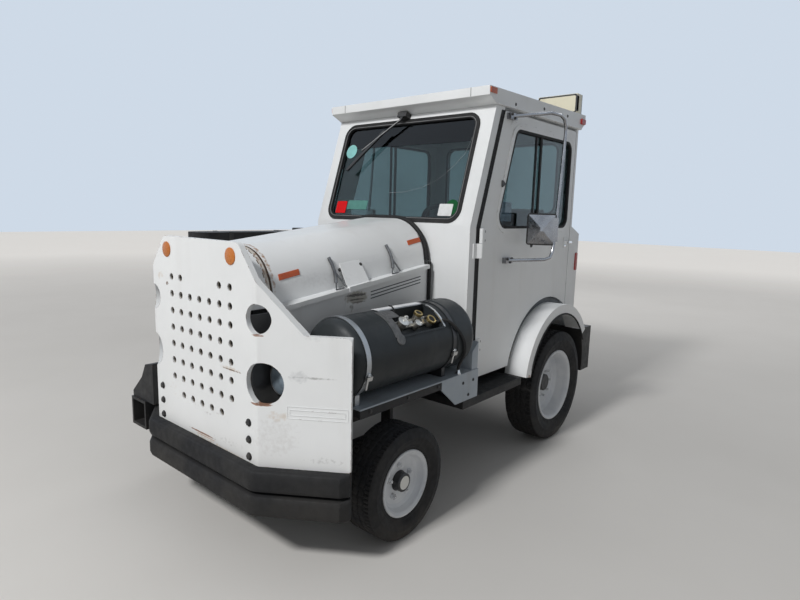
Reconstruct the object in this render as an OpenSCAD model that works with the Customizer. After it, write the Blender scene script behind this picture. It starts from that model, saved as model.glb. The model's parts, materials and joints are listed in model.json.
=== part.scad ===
// Aircraft pushback tractor: bent steel front plate, barrel hood, gas tank on the left deck and a closed cab.
// Millimetres. X runs to the tractor's left, Y to its rear and Z up from the ground.
// Lengths along Y are measured from the front plate's face, and place() centres the tractor on its origin.

/* [Front plate] */
// Thickness of the bent front plate
plate_t = 25; // [20:1:30]
// Half width of the flat face between the two bends
face_hw = 398; // [385:1:410]
// Length of each bent wing, along the wing
wing_len = 373; // [350:1:390]
// Angle by which each wing is bent back
wing_angle = 33.9; // [30:0.1:36]
// Height of the plate's top edge
plate_top_z = 1303; // [1290:1:1320]
// Half width of the plate's top edge
plate_top_hw = 288; // [270:1:300]
// Height at which the slanted edge crosses the bend
plate_bend_z = 1166; // [1150:1:1180]
// Height of the wing's level ledge
ledge_z = 962; // [940:1:980]
// Distance from the bend to the start of the wing's ledge
ledge_start = 190; // [170:1:210]
// Height of the plate's bottom edge
plate_bottom_z = 428; // [415:1:440]

/* [Holes in the plate] */
// Pitch of the cooling holes
hole_pitch = 76.2; // [70:0.1:80]
// Height of the top row of cooling holes
hole_top_z = 1123; // [1110:1:1135]
// Radius of a cooling hole
hole_r = 15.5; // [12:0.5:18]
// Radius of the upper hole across each bend
upper_hole_r = 59; // [50:1:64]
// Height of the upper hole across each bend
upper_hole_z = 1017; // [1005:1:1030]
// Radius of the hole in front of each headlamp
lamp_hole_r = 84; // [78:1:90]
// Height of the headlamps
lamp_z = 765; // [755:1:775]
// Distance of the headlamp hole's centre from the bend, along the wing
lamp_shift = 22; // [10:1:30]
// Distance of each bolt column from the centre plane
bolt_x = 344; // [330:1:355]
// Height of the top bolt
bolt_top_z = 595; // [585:1:600]
// Pitch of the bolts
bolt_pitch = 70.6; // [60:0.1:72]

/* [Front bumper] */
// Depth of the rubber strips in front of the plate
rubber_depth = 48; // [44:1:60]
// Length of the strips on the right wing, where they end at the corner socket
rubber_right_len = 195; // [150:1:198]
// Height of each rubber strip
rubber_h = 92; // [80:1:100]
// Groove between the two rubber strips
rubber_groove = 10; // [6:1:14]

/* [Corner socket] */
// Distance of the square tube's inner side from the bend
socket_shift = 207; // [202:1:210]
// Height of the square tube's lower face
socket_z = 290; // [280:1:300]

/* [Front wheels] */
// Distance of the front axle behind the plate's face
front_axle_y = 564; // [550:1:580]
// Radius of a front tyre
front_tyre_r = 252; // [245:1:258]
// Radius of the front rim's lip
front_lip_r = 151; // [145:1:158]
// Width of a front tyre
front_tyre_w = 180; // [170:1:190]
// Distance of the front rim's outer plane from the centre plane
front_rim_x = 700; // [695:1:706]
// Distance of each kingpin from the centre plane
kingpin_x = 455; // [450:1:458]
// Radius of a kingpin
kingpin_r = 14; // [12:0.5:16]
// Radius of a front wheel spindle
spindle_r = 22; // [18:0.5:24]
// Depth of the front rim's bowl
front_bowl = 48; // [44:1:54]
// Depth of the front hub's cap inside the rim's outer plane
front_hub_depth = 12; // [8:1:18]

/* [Rear wheels] */
// Distance between the axles
wheelbase = 1546; // [1530:1:1560]
// Radius of a rear tyre
rear_tyre_r = 351; // [340:1:356]
// Radius of the rear rim's lip
rear_lip_r = 226; // [215:1:232]
// Width of a rear tyre
rear_tyre_w = 196; // [185:1:200]
// Distance of the rear rim's outer plane from the centre plane
rear_rim_x = 661; // [655:1:664]
// Radius of a rear axle's end
rear_shaft_r = 30; // [26:0.5:34]
// Depth of the rear rim's bowl
rear_bowl = 112; // [104:1:118]
// Depth of the rear hub's cap inside the rim's outer plane
rear_hub_depth = 70; // [64:1:76]

/* [Hood] */
// Distance of the hood's front edge behind the plate's face
hood_front_y = 165; // [160:1:175]
// Distance of the hood's rear edge behind the plate's face
hood_rear_y = 1125; // [1110:1:1130]
// Height of the hood's side flange at its front end
flange_front_z = 1032; // [1025:1:1045]
// Height of the hood's side flange at its rear end
flange_rear_z = 1152; // [1145:1:1160]
// Half width of the hood at its front end, above the flange
hood_front_hw = 298; // [290:1:302]
// Half width of the hood at its rear end, above the flange
hood_rear_hw = 324; // [315:1:326]
// Height of the hood's crown above its flange
hood_h = 246; // [235:1:255]
// Radius of the hood's shoulders at its front end
hood_r = 205; // [195:1:212]
// Distance of the hood hinge's axis from the centre plane
hood_hinge_x = 350; // [347:1:352]
// Radius of the hood hinge's barrels
hood_hinge_r = 8; // [6:0.5:9]
// Thickness of the hood's shell
hood_wall = 8; // [6:1:12]
// Outer half width of the hood's flange
flange_hw = 360; // [354:1:364]
// Thickness of the hood's flange
flange_t = 20; // [16:1:24]

/* [Engine casing and decks] */
// Half width of the engine casing
casing_hw = 334; // [330:1:336]
// Thickness of the casing's side walls
casing_wall = 12; // [10:1:16]
// Height of the decks beside the engine
deck_z = 650; // [645:1:656]
// Thickness of the deck plates
deck_t = 8; // [6:1:10]
// Distance of the decks' outer edges from the centre plane
deck_hw = 664; // [655:1:670]
// Distance of the decks' front edges behind the plate's face
deck_front_y = 300; // [295:1:306]
// Distance of the aprons below the decks behind the plate's face
apron_y = 850; // [830:1:870]

/* [Frame] */
// Outer half width of the frame rails
rail_hw = 352; // [346:1:356]
// Width of a frame rail
rail_w = 62; // [56:1:66]
// Height of the frame rails' lower faces
rail_low_z = 462; // [458:1:466]
// Height of the frame rails' upper faces
rail_top_z = 580; // [575:1:584]
// Outer half width of the running boards
board_hw = 664; // [655:1:670]
// Height of the running boards' upper faces
board_z = 502; // [498:1:508]
// Height of the running boards
board_h = 42; // [36:1:46]

/* [Cab] */
// Half width of the cab
cab_hw = 575; // [570:1:578]
// Distance of the cab's front face behind the plate's face
cab_front_y = 1166; // [1160:1:1172]
// Thickness of the cab's front and rear walls
wall_t = 25; // [20:1:28]
// Thickness of the doors and of the cab's sides
side_t = 30; // [26:1:34]
// Height of the belt, where the windscreen starts to lean back
belt_z = 1366; // [1358:1:1374]
// Angle by which the windscreen leans back
rake = 17.6; // [16:0.1:18]
// Depth of the windscreen pillars, front to back
pillar_d = 87; // [80:1:92]
// Height of the underside of the roof's edge
eave_z = 1991; // [1985:1:1998]
// Distance of the outer face of the cab's upper rear wall behind the rear axle
cab_tail = 277; // [270:1:282]
// How far the cab's lower rear wall stands behind its upper one
tub_depth = 128; // [118:1:138]
// Height of the cab's floor
floor_z = 606; // [600:1:612]
// Thickness of the cab's floor
floor_t = 20; // [14:1:24]
// Height of the seat box
seat_box_z = 900; // [890:1:910]
// Distance of the seat box's front behind the plate's face
seat_box_y = 1640; // [1630:1:1700]
// Radius of the wheel housings beside the seat box
well_r = 432; // [425:1:438]
// Distance of the wheel housings' inner faces from the centre plane
well_x = 425; // [415:1:435]
// Height of the lower edge of the cab's walls
skirt_z = 560; // [552:1:566]

/* [Controls] */
// Half width of the dashboard
dash_hw = 500; // [480:1:520]
// Depth of the dashboard
dash_d = 130; // [120:1:150]
// Height of the dashboard's lower edge
dash_low_z = 1080; // [1060:1:1120]
// Height of the dashboard's upper edge
dash_top_z = 1340; // [1320:1:1350]
// Distance of the steering wheel from the centre plane
wheel_x = 250; // [230:1:270]
// Distance of the steering wheel behind the plate's face
wheel_y = 1460; // [1450:1:1480]
// Height of the steering wheel
wheel_z = 1330; // [1320:1:1340]
// Radius of the steering wheel
wheel_r = 185; // [175:1:195]
// Angle by which the steering wheel is tilted towards the seat
wheel_tilt = -50; // [-60:1:-45]

// Distance of the seat's front behind the plate's face
seat_y = 1790; // [1770:1:1810]
// Width of the seat
seat_w = 440; // [420:1:460]
// Height of the seat's back above the seat box
seat_h = 600; // [560:1:640]

/* [Windows] */
// Half width of the windscreen's hole
screen_hw = 486; // [480:1:490]
// Distance of the windscreen hole's lower edge above the belt, along the slope
screen_low = 30; // [26:1:36]
// Height of the windscreen's hole, along the slope
screen_h = 580; // [570:1:584]
// Corner radius of the windscreen's hole
screen_r = 62; // [50:1:70]
// Half width of the rear window's hole
rear_win_hw = 455; // [440:1:465]
// Height of the rear window's lower edge
rear_win_low_z = 1440; // [1430:1:1450]
// Height of the rear window's upper edge
rear_win_top_z = 1915; // [1900:1:1925]
// Height of the door windows' lower edge
door_win_low_z = 1357; // [1350:1:1365]
// Height of the door windows' upper edge
door_win_top_z = 1898; // [1890:1:1905]
// Thickness of the window glass
glass_t = 6; // [5:0.5:8]

/* [Doors] */
// Gap round the doors
door_gap = 6; // [5:0.5:8]
// Height of the doors' upper edge
door_top_z = 1974; // [1968:1:1980]
// Height of the doors' lower edge
door_low_z = 556; // [550:1:562]
// Distance of the door hinges' axis outside the doors' faces
hinge_out = 17; // [15:1:20]
// Radius of the door hinges' barrels
hinge_r = 11; // [8:1:12]
// Length of a door hinge
hinge_len = 154; // [140:1:170]
// Height of the door handles
handle_z = 1262; // [1250:1:1275]

/* [Rear fenders] */
// Distance of the wheel arch's centre ahead of the rear axle
arch_lead = 20; // [12:1:26]
// Height of the wheel arch's centre
arch_z = 437; // [430:1:445]
// Radius of the wheel arch's cut in cab and door
arch_r = 482; // [474:1:486]
// Outer radius of the fender
fender_r = 446; // [440:1:452]
// Depth of the fender's outer lip
fender_lip = 60; // [50:1:64]
// Distance of the fender's outer face from the centre plane
fender_x = 688; // [684:1:694]
// Thickness of the fender's sheet
fender_t = 6; // [5:0.5:8]

/* [Gas tank] */
// Radius of the gas tank
tank_r = 170; // [160:1:172]
// Distance of the gas tank's axis from the centre plane
tank_x = 515; // [512:1:520]
// Height of the gas tank's axis
tank_z = 832; // [828:1:836]
// Distance of the tank's front tip behind the plate's face
tank_front_y = 240; // [236:1:250]
// Gap between the gas tank's rear and the cab
tank_gap = 76; // [68:1:90]
// Depth of the tank's dished front end
tank_dome = 70; // [60:1:80]
// Distance of the valves' opening behind the plate's face
valve_y = 530; // [520:1:545]
// Length of the valves' opening
valve_len = 320; // [300:1:330]
// Depth of the valves' opening
valve_depth = 52; // [46:1:58]

/* [Side tank] */
// Distance of the side tank from the engine casing
side_tank_gap = 218; // [205:1:225]
// Distance of the side tank's front behind the plate's face
side_tank_y = 330; // [320:1:345]
// Width of the side tank
side_tank_w = 160; // [140:1:165]
// Gap between the side tank's rear and the cab
side_tank_end = 56; // [36:1:90]
// Height of the side tank above the deck
side_tank_h = 650; // [620:1:660]

/* [Roof] */
// Height of the roof's upper face at its front edge
roof_front_z = 2074; // [2068:1:2080]
// Height of the roof's upper face at its rear edge
roof_rear_z = 2092; // [2088:1:2098]
// Distance of the roof's front edge behind the plate's face
roof_front_y = 1284; // [1276:1:1290]
// How far the roof's rear edge stands behind the cab's upper rear wall
roof_tail = 89; // [81:1:97]

/* [Mirrors] */
// Distance of the mirror tubes outside the doors' faces
mirror_out = 162; // [154:1:166]
// Radius of the mirror tubes
arm_r = 9; // [7:0.5:11]
// Distance of the mirror heads behind the plate's face
mirror_y = 1797; // [1785:1:1810]
// Height of the mirror tubes' upper runs
arm_top_z = 1982; // [1970:1:1990]
// Height of the mirror tubes' lower runs
arm_low_z = 1188; // [1175:1:1200]
// Depth of a mirror head's pyramid
mirror_d = 46; // [38:1:52]
// Height of the mirror heads' middles
mirror_z = 1355; // [1345:1:1365]
// Width of a mirror head
mirror_w = 157; // [150:1:165]
// Height of a mirror head
mirror_h = 174; // [165:1:182]
// Angle by which a mirror head is turned towards the driver
mirror_turn = 31; // [26:1:34]

/* [Roof lamp] */
// Distance of the roof lamp's inner end from the centre plane
lamp_x = 300; // [290:1:304]
// Width of the roof lamp
lamp_w = 272; // [250:1:275]
// Distance of the roof lamp's front from the roof's rear edge
lamp_lead = 136; // [126:1:146]
// Depth of the roof lamp
lamp_d = 80; // [70:1:90]
// Height of the roof lamp above the roof's rear edge
lamp_h = 120; // [110:1:130]

/* [Rear end] */
// How far the rear weight stands behind the cab's lower rear wall
weight_depth = 140; // [130:1:150]
// Height of the rear weight's lower face
weight_low_z = 362; // [355:1:370]
// Height of the rear weight's upper face
weight_top_z = 668; // [660:1:676]
// Half width of the rear weight
weight_hw = 655; // [645:1:660]
// Length of the tow hitch behind the rear weight
hitch_len = 95; // [85:1:105]
// Radius of the bores for the tow pin
hitch_bore_r = 16; // [13:0.5:18]

/* [Hidden] */
$fn = 64;
fit = 0.3;
running = 0.05;
rear_axle_y = front_axle_y + wheelbase;
cab_rear_y = rear_axle_y + cab_tail;
tub_rear_y = cab_rear_y + tub_depth;
roof_rear_y = cab_rear_y + roof_tail;
lamp_y = roof_rear_y - lamp_lead;
weight_rear_y = tub_rear_y + weight_depth;
tank_len = cab_front_y - tank_gap - tank_front_y;
side_tank_len = cab_front_y - side_tank_end - side_tank_y;
door_front_y = cab_front_y + pillar_d + door_gap;
arch_y = rear_axle_y - arch_lead;
socket_x = face_hw + socket_shift;
hinge_x = cab_hw + hinge_out;
hinge_y = door_front_y - 9;
hinge_z = [door_low_z + 138, door_low_z + 727];
mirror_x = cab_hw + mirror_out;
front_end_y = -rubber_depth;
rear_end_y = weight_rear_y + hitch_len;
mid_y = (front_end_y + rear_end_y) / 2;
rubber_low_z = plate_bottom_z - 2 * rubber_h - rubber_groove;
flange_slope = atan((flange_rear_z - flange_front_z) / (hood_rear_y - hood_front_y));
screen_slope_len = (eave_z - belt_z) / cos(rake);
door_rear_y = cab_rear_y - wall_t - door_gap;

// Moves a piece from the front plate's frame to the tractor's own frame
module place() translate([0, -mid_y, 0]) children();

// Draws the same thing on the left and on the right
module both_sides() {
    children();
    mirror([1, 0, 0]) children();
}

// A flat outline (x, z) as a sheet of thickness t that starts at y = 0
module sheet_xz(t) translate([0, t, 0]) rotate([90, 0, 0]) linear_extrude(t) children();

// A flat outline (y, z) as a sheet of thickness t that starts at x = 0
module sheet_yz(t) rotate([90, 0, 90]) linear_extrude(t) children();

// The frame of the left wing: x runs along the wing from the bend, y into the plate
module on_wing() translate([face_hw, 0, 0]) rotate([0, 0, wing_angle]) children();

// The frame of the windscreen: z runs up the slope from the belt, y into the cab
module on_screen() translate([0, cab_front_y, belt_z]) rotate([-rake, 0, 0]) children();

// A profile of (radius, distance) points turned about an axle along X at (y, z)
module turned(y, z) translate([0, y, z]) rotate([0, 90, 0]) rotate_extrude() children();

// Unit vector along v
function unit(v) = v / norm(v);

// Points of one rounded corner b = [x, y, radius] between its neighbours a and c
function corner(a, b, c, n) =
    let(
        p = [b[0], b[1]],
        u = unit([a[0], a[1]] - p),
        v = unit([c[0], c[1]] - p),
        half = acos(u * v) / 2,
        centre = p + unit(u + v) * b[2] / sin(half),
        from = p + u * b[2] / tan(half) - centre,
        to = p + v * b[2] / tan(half) - centre
    )
    b[2] == 0 ? [p] : [for (i = [0:n]) centre + b[2] * unit(from * (n - i) + to * i)];

// Outline through rows of [x, y, corner radius]
function rounded(rows, n = 6) =
    [for (i = [0:len(rows) - 1])
        each corner(rows[(i + len(rows) - 1) % len(rows)], rows[i], rows[(i + 1) % len(rows)], n)];

// Upright rectangle with rounded corners, centred on x = 0
function window(hw, low, top, r) = rounded([[-hw, low, r], [hw, low, r], [hw, top, r], [-hw, top, r]]);

// Plan of the plate between two distances in front of its face, with rounded bends
function wing_plan(near, far, left_len, right_len) =
    let(turn = tan(wing_angle / 2), c = cos(wing_angle), s = sin(wing_angle))
    rounded([
        [-face_hw - right_len * c - far * s, right_len * s - far * c, 0],
        [-face_hw - far * turn, -far, 30 + far], [face_hw + far * turn, -far, 30 + far],
        [face_hw + left_len * c + far * s, left_len * s - far * c, 0],
        [face_hw + left_len * c + near * s, left_len * s - near * c, 0],
        [face_hw + near * turn, -near, 30 + near], [-face_hw - near * turn, -near, 30 + near],
        [-face_hw - right_len * c - near * s, right_len * s - near * c, 0]
    ]);

// Front view of the plate
function plate_outline() =
    let(c = cos(wing_angle), half = [
        [plate_top_hw, plate_top_z, 40], [face_hw + ledge_start * c, ledge_z, 0],
        [face_hw + wing_len * c + 1, ledge_z, 24], [face_hw + wing_len * c + 1, plate_bottom_z, 10]
    ])
    rounded(concat(half, [for (i = [3:-1:0]) [-half[i][0], half[i][1], half[i][2]]]));

module front_plate() color("white") difference() {
    intersection() {
        linear_extrude(plate_top_z) polygon(wing_plan(-plate_t, 0, wing_len, wing_len));
        translate([0, -100, 0]) sheet_xz(500) polygon(plate_outline());
    }
    cooling_holes();
    both_sides() {
        // two big holes across the bend, square to the middle of the bend
        for (hole = [[0, upper_hole_z, upper_hole_r], [lamp_shift, lamp_z, lamp_hole_r]])
            translate([face_hw + hole[0], 0, hole[1]]) rotate([90, 0, wing_angle / 2])
                cylinder(r = hole[2], h = 8 * plate_t, center = true);
        for (i = [0:2]) translate([bolt_x, 0, bolt_top_z - i * bolt_pitch]) rotate([90, 0, 0])
            cylinder(r = 9, h = 3 * plate_t, center = true);
    }
}

// Grid of 7 columns and 8 rows; the top row lacks its middle and the bottom row its ends
module cooling_holes() {
    for (row = [0:7], col = [-3:3])
        if (!(row == 0 && abs(col) < 2) && !(row == 7 && abs(col) > 2))
            translate([col * hole_pitch, 0, hole_top_z - row * hole_pitch]) rotate([90, 0, 0])
                cylinder(r = hole_r, h = 3 * plate_t, center = true, $fn = 32);
}

// Section of a rubber strip: [depth in front of the plate, height]
function strip_section() =
    let(d = rubber_depth, h = rubber_h)
    [[fit, 0], [d * 0.62, 0], [d * 0.86, 7], [d, 24], [d, h - 24], [d * 0.86, h - 7], [d * 0.62, h], [fit, h]];

// Plan stations of the strips from right to left: [x, y, direction of the outward normal]
function strip_stations() =
    let(r = 30, cx = face_hw - r * tan(wing_angle / 2), c = cos(wing_angle), s = sin(wing_angle))
    concat(
        [[-face_hw - rubber_right_len * c, rubber_right_len * s, -90 - wing_angle]],
        [for (a = [wing_angle:-wing_angle / 4:0]) [-cx - r * sin(a), r - r * cos(a), -90 - a]],
        [for (a = [0:wing_angle / 4:wing_angle]) [cx + r * sin(a), r - r * cos(a), -90 + a]],
        [[face_hw + (wing_len - 34) * c, (wing_len - 34) * s, -90 + wing_angle]]
    );

// One rubber strip, with its left end bevelled back towards the plate
module rubber_strip() {
    section = strip_section();
    stations = strip_stations();
    n = len(section);
    last = len(stations) - 1;
    tip = [face_hw + wing_len * cos(wing_angle), wing_len * sin(wing_angle)];
    rings = [for (i = [0:last], p = section)
        [stations[i][0] + p[0] * cos(stations[i][2]), stations[i][1] + p[0] * sin(stations[i][2]), p[1]]];
    end = [for (p = section)
        [tip[0] + 0.45 * p[0] * cos(stations[last][2]), tip[1] + 0.45 * p[0] * sin(stations[last][2]), p[1]]];
    polyhedron(points = concat(rings, end), faces = concat(
        [[for (k = [0:n - 1]) k]],
        [for (i = [0:last], k = [0:n - 1])
            let(p = i * n + k, q = i * n + (k + 1) % n)
            each [[p, q + n, q], [p, p + n, q + n]]],
        [[for (k = [n - 1:-1:0]) (last + 1) * n + k]]
    ));
}

module bumper_rubbers() color("#222222")
    for (i = [0:1]) translate([0, 0, rubber_low_z + i * (rubber_h + rubber_groove)]) rubber_strip();

module main_frame() color("#202020") {
    // bar behind the bumper's rubbers
    translate([0, 0, rubber_low_z]) linear_extrude(2 * rubber_h + rubber_groove - fit)
        polygon(wing_plan(-plate_t, 0, wing_len, wing_len));
    both_sides() translate([rail_hw - rail_w, plate_t + fit, rail_low_z])
        cube([rail_w, tub_rear_y - 60 - 2 * fit - plate_t, rail_top_z - rail_low_z]);
    // bars from the rails down to the bumper's bar
    both_sides() {
        translate([rail_hw - rail_w, plate_t - 1, rubber_low_z + 20])
            cube([rail_w, 31, plate_bottom_z - rubber_low_z - 21]);
        translate([rail_hw - rail_w, plate_t + fit, rubber_low_z + 20])
            cube([rail_w, 30, rail_low_z - rubber_low_z]);
    }
    for (y = [70, rear_axle_y - 550, tub_rear_y - 185])
        translate([-rail_hw + rail_w - 1, y, rail_low_z + 10]) cube([2 * (rail_hw - rail_w) + 2, 60, 70]);
    both_sides() {
        running_board();
        deck_edge();
    }
}

// Angle along the deck's outer edge, on arms from the rail
module deck_edge() {
    low = deck_z - deck_t - 34;
    translate([deck_hw - 8, deck_front_y, low]) cube([8, apron_y - deck_front_y, 34 - fit]);
    for (y = [deck_front_y + 10, apron_y - 50]) translate([rail_hw - 1, y, rail_top_z - 40])
        cube([30, 36, low + 70 - rail_top_z]);
    for (y = [deck_front_y + 10, apron_y - 50])
        translate([rail_hw - 1, y, low]) cube([deck_hw - rail_hw - 6, 36, 30]);
}

module running_board() {
    translate([rail_hw - 1, cab_front_y - 130, board_z - board_h])
        cube([board_hw - rail_hw + 1, arch_y - fender_r - cab_front_y + 120, board_h]);
}

module side_decks() color("#c9cccd") both_sides() {
    translate([casing_hw + fit, deck_front_y, deck_z - deck_t])
        cube([deck_hw - casing_hw - fit, cab_front_y - deck_front_y - fit, deck_t]);
    // apron between the deck and the running board
    translate([deck_hw - 8, 0, 0]) sheet_yz(8) polygon([
        [apron_y + fit, deck_z - deck_t - 40], [apron_y + 120, board_z + fit],
        [cab_front_y - fit, board_z + fit], [cab_front_y - fit, deck_z - deck_t / 2],
        [apron_y + fit, deck_z - deck_t / 2]
    ]);
    // box at the cab's foot with a sloping, rounded top
    translate([deck_hw - 90, 0, 0]) sheet_yz(84) polygon(rounded([
        [cab_front_y - 54, deck_z - 1, 0], [cab_front_y - fit, deck_z - 1, 0],
        [cab_front_y - fit, deck_z + 140, 0], [cab_front_y - 54, deck_z + 94, 24]
    ]));
    translate([casing_hw + fit, deck_front_y, rail_top_z + fit])
        cube([rail_hw - casing_hw - 1 - 2 * fit, cab_front_y - deck_front_y - fit, deck_z - deck_t / 2 - rail_top_z]);
}

// Arch section of the hood with its lower edge at z = 0
function arch(hw, h, r) = rounded([[hw, 0, 0], [hw - h / 6, h, r], [-hw + h / 6, h, r], [-hw, 0, 0]], 10);

module arch_slice(y, z, hw, h, r) translate([0, y, z]) sheet_xz(1) polygon(arch(hw, h, r));

module nose_shell() color("white") difference() {
    translate([0, plate_t + fit, 0]) hull() {
        arch_slice(0, flange_front_z, hood_front_hw - 4, hood_h - 6, 200);
        arch_slice(hood_front_y - plate_t - 20, flange_front_z, hood_front_hw - 4, hood_h - 4, 200);
    }
    translate([0, plate_t - 1, 0]) hull() {
        arch_slice(0, flange_front_z - 1, hood_front_hw - 14, hood_h - 16, 190);
        arch_slice(hood_front_y, flange_front_z - 1, hood_front_hw - 14, hood_h - 14, 190);
    }
}

module engine_casing() color("white") {
    gap = flange_t / 2 + fit;
    both_sides() {
        translate([casing_hw - casing_wall, 0, 0]) sheet_yz(casing_wall) polygon([
            [plate_t + fit, rail_top_z + fit], [cab_front_y - fit, rail_top_z + fit],
            [cab_front_y - fit, flange_rear_z - gap], [hood_rear_y, flange_rear_z - gap],
            [hood_front_y, flange_front_z - gap], [plate_t + fit, flange_front_z - gap]
        ]);
    }
    translate([-casing_hw + 1, cab_front_y - 20, flange_rear_z - gap - 80])
        cube([2 * casing_hw - 2, 20 - fit, 60]);
    on_flange() for (y = [202:250:702]) hinge_barrel(y, 146, 1);
}

module hood() color("white") {
    difference() {
        hull() {
            arch_slice(hood_front_y, flange_front_z, hood_front_hw, hood_h, hood_r);
            arch_slice(hood_rear_y - 1, flange_rear_z, hood_rear_hw, hood_h, hood_r + 10);
        }
        hull() {
            arch_slice(hood_front_y - 1, flange_front_z - 1, hood_front_hw - hood_wall, hood_h - hood_wall, hood_r - hood_wall);
            arch_slice(hood_rear_y, flange_rear_z - 1, hood_rear_hw - hood_wall, hood_h - hood_wall, hood_r + 10 - hood_wall);
        }
    }
    both_sides() hood_flange();
    on_flange() {
        for (y = [100:250:850]) hinge_barrel(y, 100, 0);
        flange_bracket();
    }
}

// The frame of the hood's flanges: y runs along them from their front end, z square to them
module on_flange() translate([0, hood_front_y, flange_front_z]) rotate([flange_slope, 0, 0]) children();

// A barrel of the hood's hinge with its leaf, up to the flange (side 0) or across to the casing (side 1)
module hinge_barrel(y, len, side) {
    drop = flange_t / 2 + hood_hinge_r + 1;
    translate([-hood_hinge_x, y, -drop]) {
        rotate([-90, 0, 0]) cylinder(r = hood_hinge_r, h = len, $fn = 32);
        if (side == 0) translate([-4, 0, 0]) cube([8, len, hood_hinge_r + 2]);
        else translate([0, 0, -3]) cube([hood_hinge_x - casing_hw + 1, len, 6]);
    }
}

// Folded sheet from the hood's left side down over the flange, with a short lip in front of it
module flange_bracket() {
    y = 390;
    x = hood_point(y + 64, 110, 0)[0];
    hull() {
        translate([x - 3, y, 108]) cube([4, 128, 4]);
        translate([flange_hw - 16, y - 18, flange_t / 2]) cube([4, 142, 4]);
    }
    translate([flange_hw - 16, y - 18, flange_t / 2 - 1]) cube([18, 142, 5]);
    translate([flange_hw - 1, y - 18, -flange_t / 2]) cube([4, 142, flange_t + 4]);
}

// Side flange of the hood, sloping with its lower edge
module hood_flange() {
    run = (hood_rear_y - hood_front_y) / cos(flange_slope);
    on_flange() translate([hood_front_hw - 4, 0, -flange_t / 2])
        cube([flange_hw - hood_front_hw + 4, run, flange_t]);
}

// Point of the hood's skin in the flange's frame, moved off it by d: a leaning side, then the round shoulder
function hood_point(y, z, d) =
    let(
        k = (y * cos(flange_slope) - z * sin(flange_slope)) / (hood_rear_y - hood_front_y),
        hw = hood_front_hw + k * (hood_rear_hw - hood_front_hw),
        r = hood_r + 10 * k,
        rise = z / cos(flange_slope),
        cz = hood_h - r,
        cx = hw - cz / 6 - r * sqrt(37 / 36),
        leaning = rise < cz + r / sqrt(37),
        a = leaning ? atan(1 / 6) : asin((rise - cz) / r)
    )
    [(leaning ? hw - rise / 6 : cx + r * cos(a)) + d * cos(a), y, z + d * sin(a)];

// Rubber straps on the hood's left side, each with a wire loop that hooks over the flange
module hood_latches() color("#303030") on_flange()
    for (y = [338, 716]) {
        // distance along the flange, height above its middle and distance off the hood's skin
        rows = [[0, 145, 9], [3, 112, 9.2], [5, 84, 9.2], [4, 56, 9.5], [-2, 34, 12]];
        path = [for (p = rows) hood_point(y + p[0], p[1], p[2])];
        rest = flange_t / 2 + 4.4;
        low = [[flange_hw - 18, y - 30, rest], [flange_hw - 10, y, rest], [flange_hw - 18, y + 32, rest + 2]];
        bent_bar(path, 8);
        bent_bar([path[4], low[0], low[1]], 4, 8);
        bent_bar([low[1], low[2], path[2]], 4, 8);
    }

// Radiator core between its lower and upper tanks
module radiator() color("#3a3a36") translate([-270, 70, rail_low_z + 80 + fit]) {
    translate([0, 18, 10]) cube([540, 50, 540]);
    for (z = [0, 500]) translate([0, 0, z]) cube([540, 86, 60]);
    for (x = [0, 515]) translate([x, 8, 0]) cube([25, 70, 560]);
}

module engine() color("#4a4d4a") {
    translate([-210, 300, 360]) cube([420, 640, 520]);
    translate([-120, 940, 380]) cube([240, 500, 200]);
}

// Floor plate, then a hollow seat box between two wheel housings
module cab_floor() color("#3c3f40") difference() {
    inner_hw = cab_hw - side_t - fit;
    low = rail_top_z + fit;
    union() {
        translate([-inner_hw, cab_front_y + wall_t + fit, low])
            cube([2 * inner_hw, seat_box_y + 10 - cab_front_y - wall_t, floor_z - low]);
        translate([-inner_hw, seat_box_y, low])
            cube([2 * inner_hw, cab_rear_y - wall_t - seat_box_y - fit, seat_box_z - low]);
        both_sides() arch_strip();
    }
    translate([-well_x + 12, seat_box_y + 12, low - 1])
        cube([2 * well_x - 24, cab_rear_y - wall_t - seat_box_y - 24, seat_box_z - low - 11]);
    both_sides() translate([well_x, arch_y, arch_z]) rotate([0, 90, 0]) cylinder(r = well_r, h = 200);
}

// Strip that closes the gap between a fender and the arch in the door
module arch_strip() intersection() {
    turned(arch_y, arch_z) polygon([
        [fender_r + 1, cab_hw - side_t - 4], [arch_r - 5, cab_hw - side_t - 4],
        [arch_r - 5, cab_hw - 12], [fender_r + 1, cab_hw - 12]
    ]);
    translate([0, cab_front_y, skirt_z + 30]) cube([cab_hw, cab_rear_y - wall_t - cab_front_y - fit, 900]);
}

// Side view of a windscreen pillar, from the wall's lower edge to the roof
function pillar_outline() =
    let(rise = eave_z - belt_z, lean = rise * tan(rake))
    [[cab_front_y, skirt_z], [cab_front_y + pillar_d, skirt_z], [cab_front_y + pillar_d, belt_z],
     [cab_front_y + pillar_d + lean, eave_z - fit], [cab_front_y + lean, eave_z - fit], [cab_front_y, belt_z]];

module cab_front() color("white") {
    both_sides() translate([cab_hw - side_t, 0, 0]) sheet_yz(side_t) polygon(pillar_outline());
    translate([-cab_hw + 1, cab_front_y, rail_top_z + fit])
        cube([2 * cab_hw - 2, wall_t, belt_z - rail_top_z - fit]);
    both_sides() for (z = hinge_z) door_hinge(z - hinge_len / 2, z - 1, -1);
    intersection() {
        difference() {
            on_screen() translate([-cab_hw + 1, 0, -10]) cube([2 * cab_hw - 2, wall_t, screen_slope_len + 40]);
            on_screen() translate([0, -wall_t, 0]) sheet_xz(3 * wall_t)
                polygon(window(screen_hw, screen_low, screen_low + screen_h, screen_r));
        }
        translate([-cab_hw, cab_front_y, skirt_z]) cube([2 * cab_hw, 400, eave_z - fit - skirt_z]);
    }
}

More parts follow.
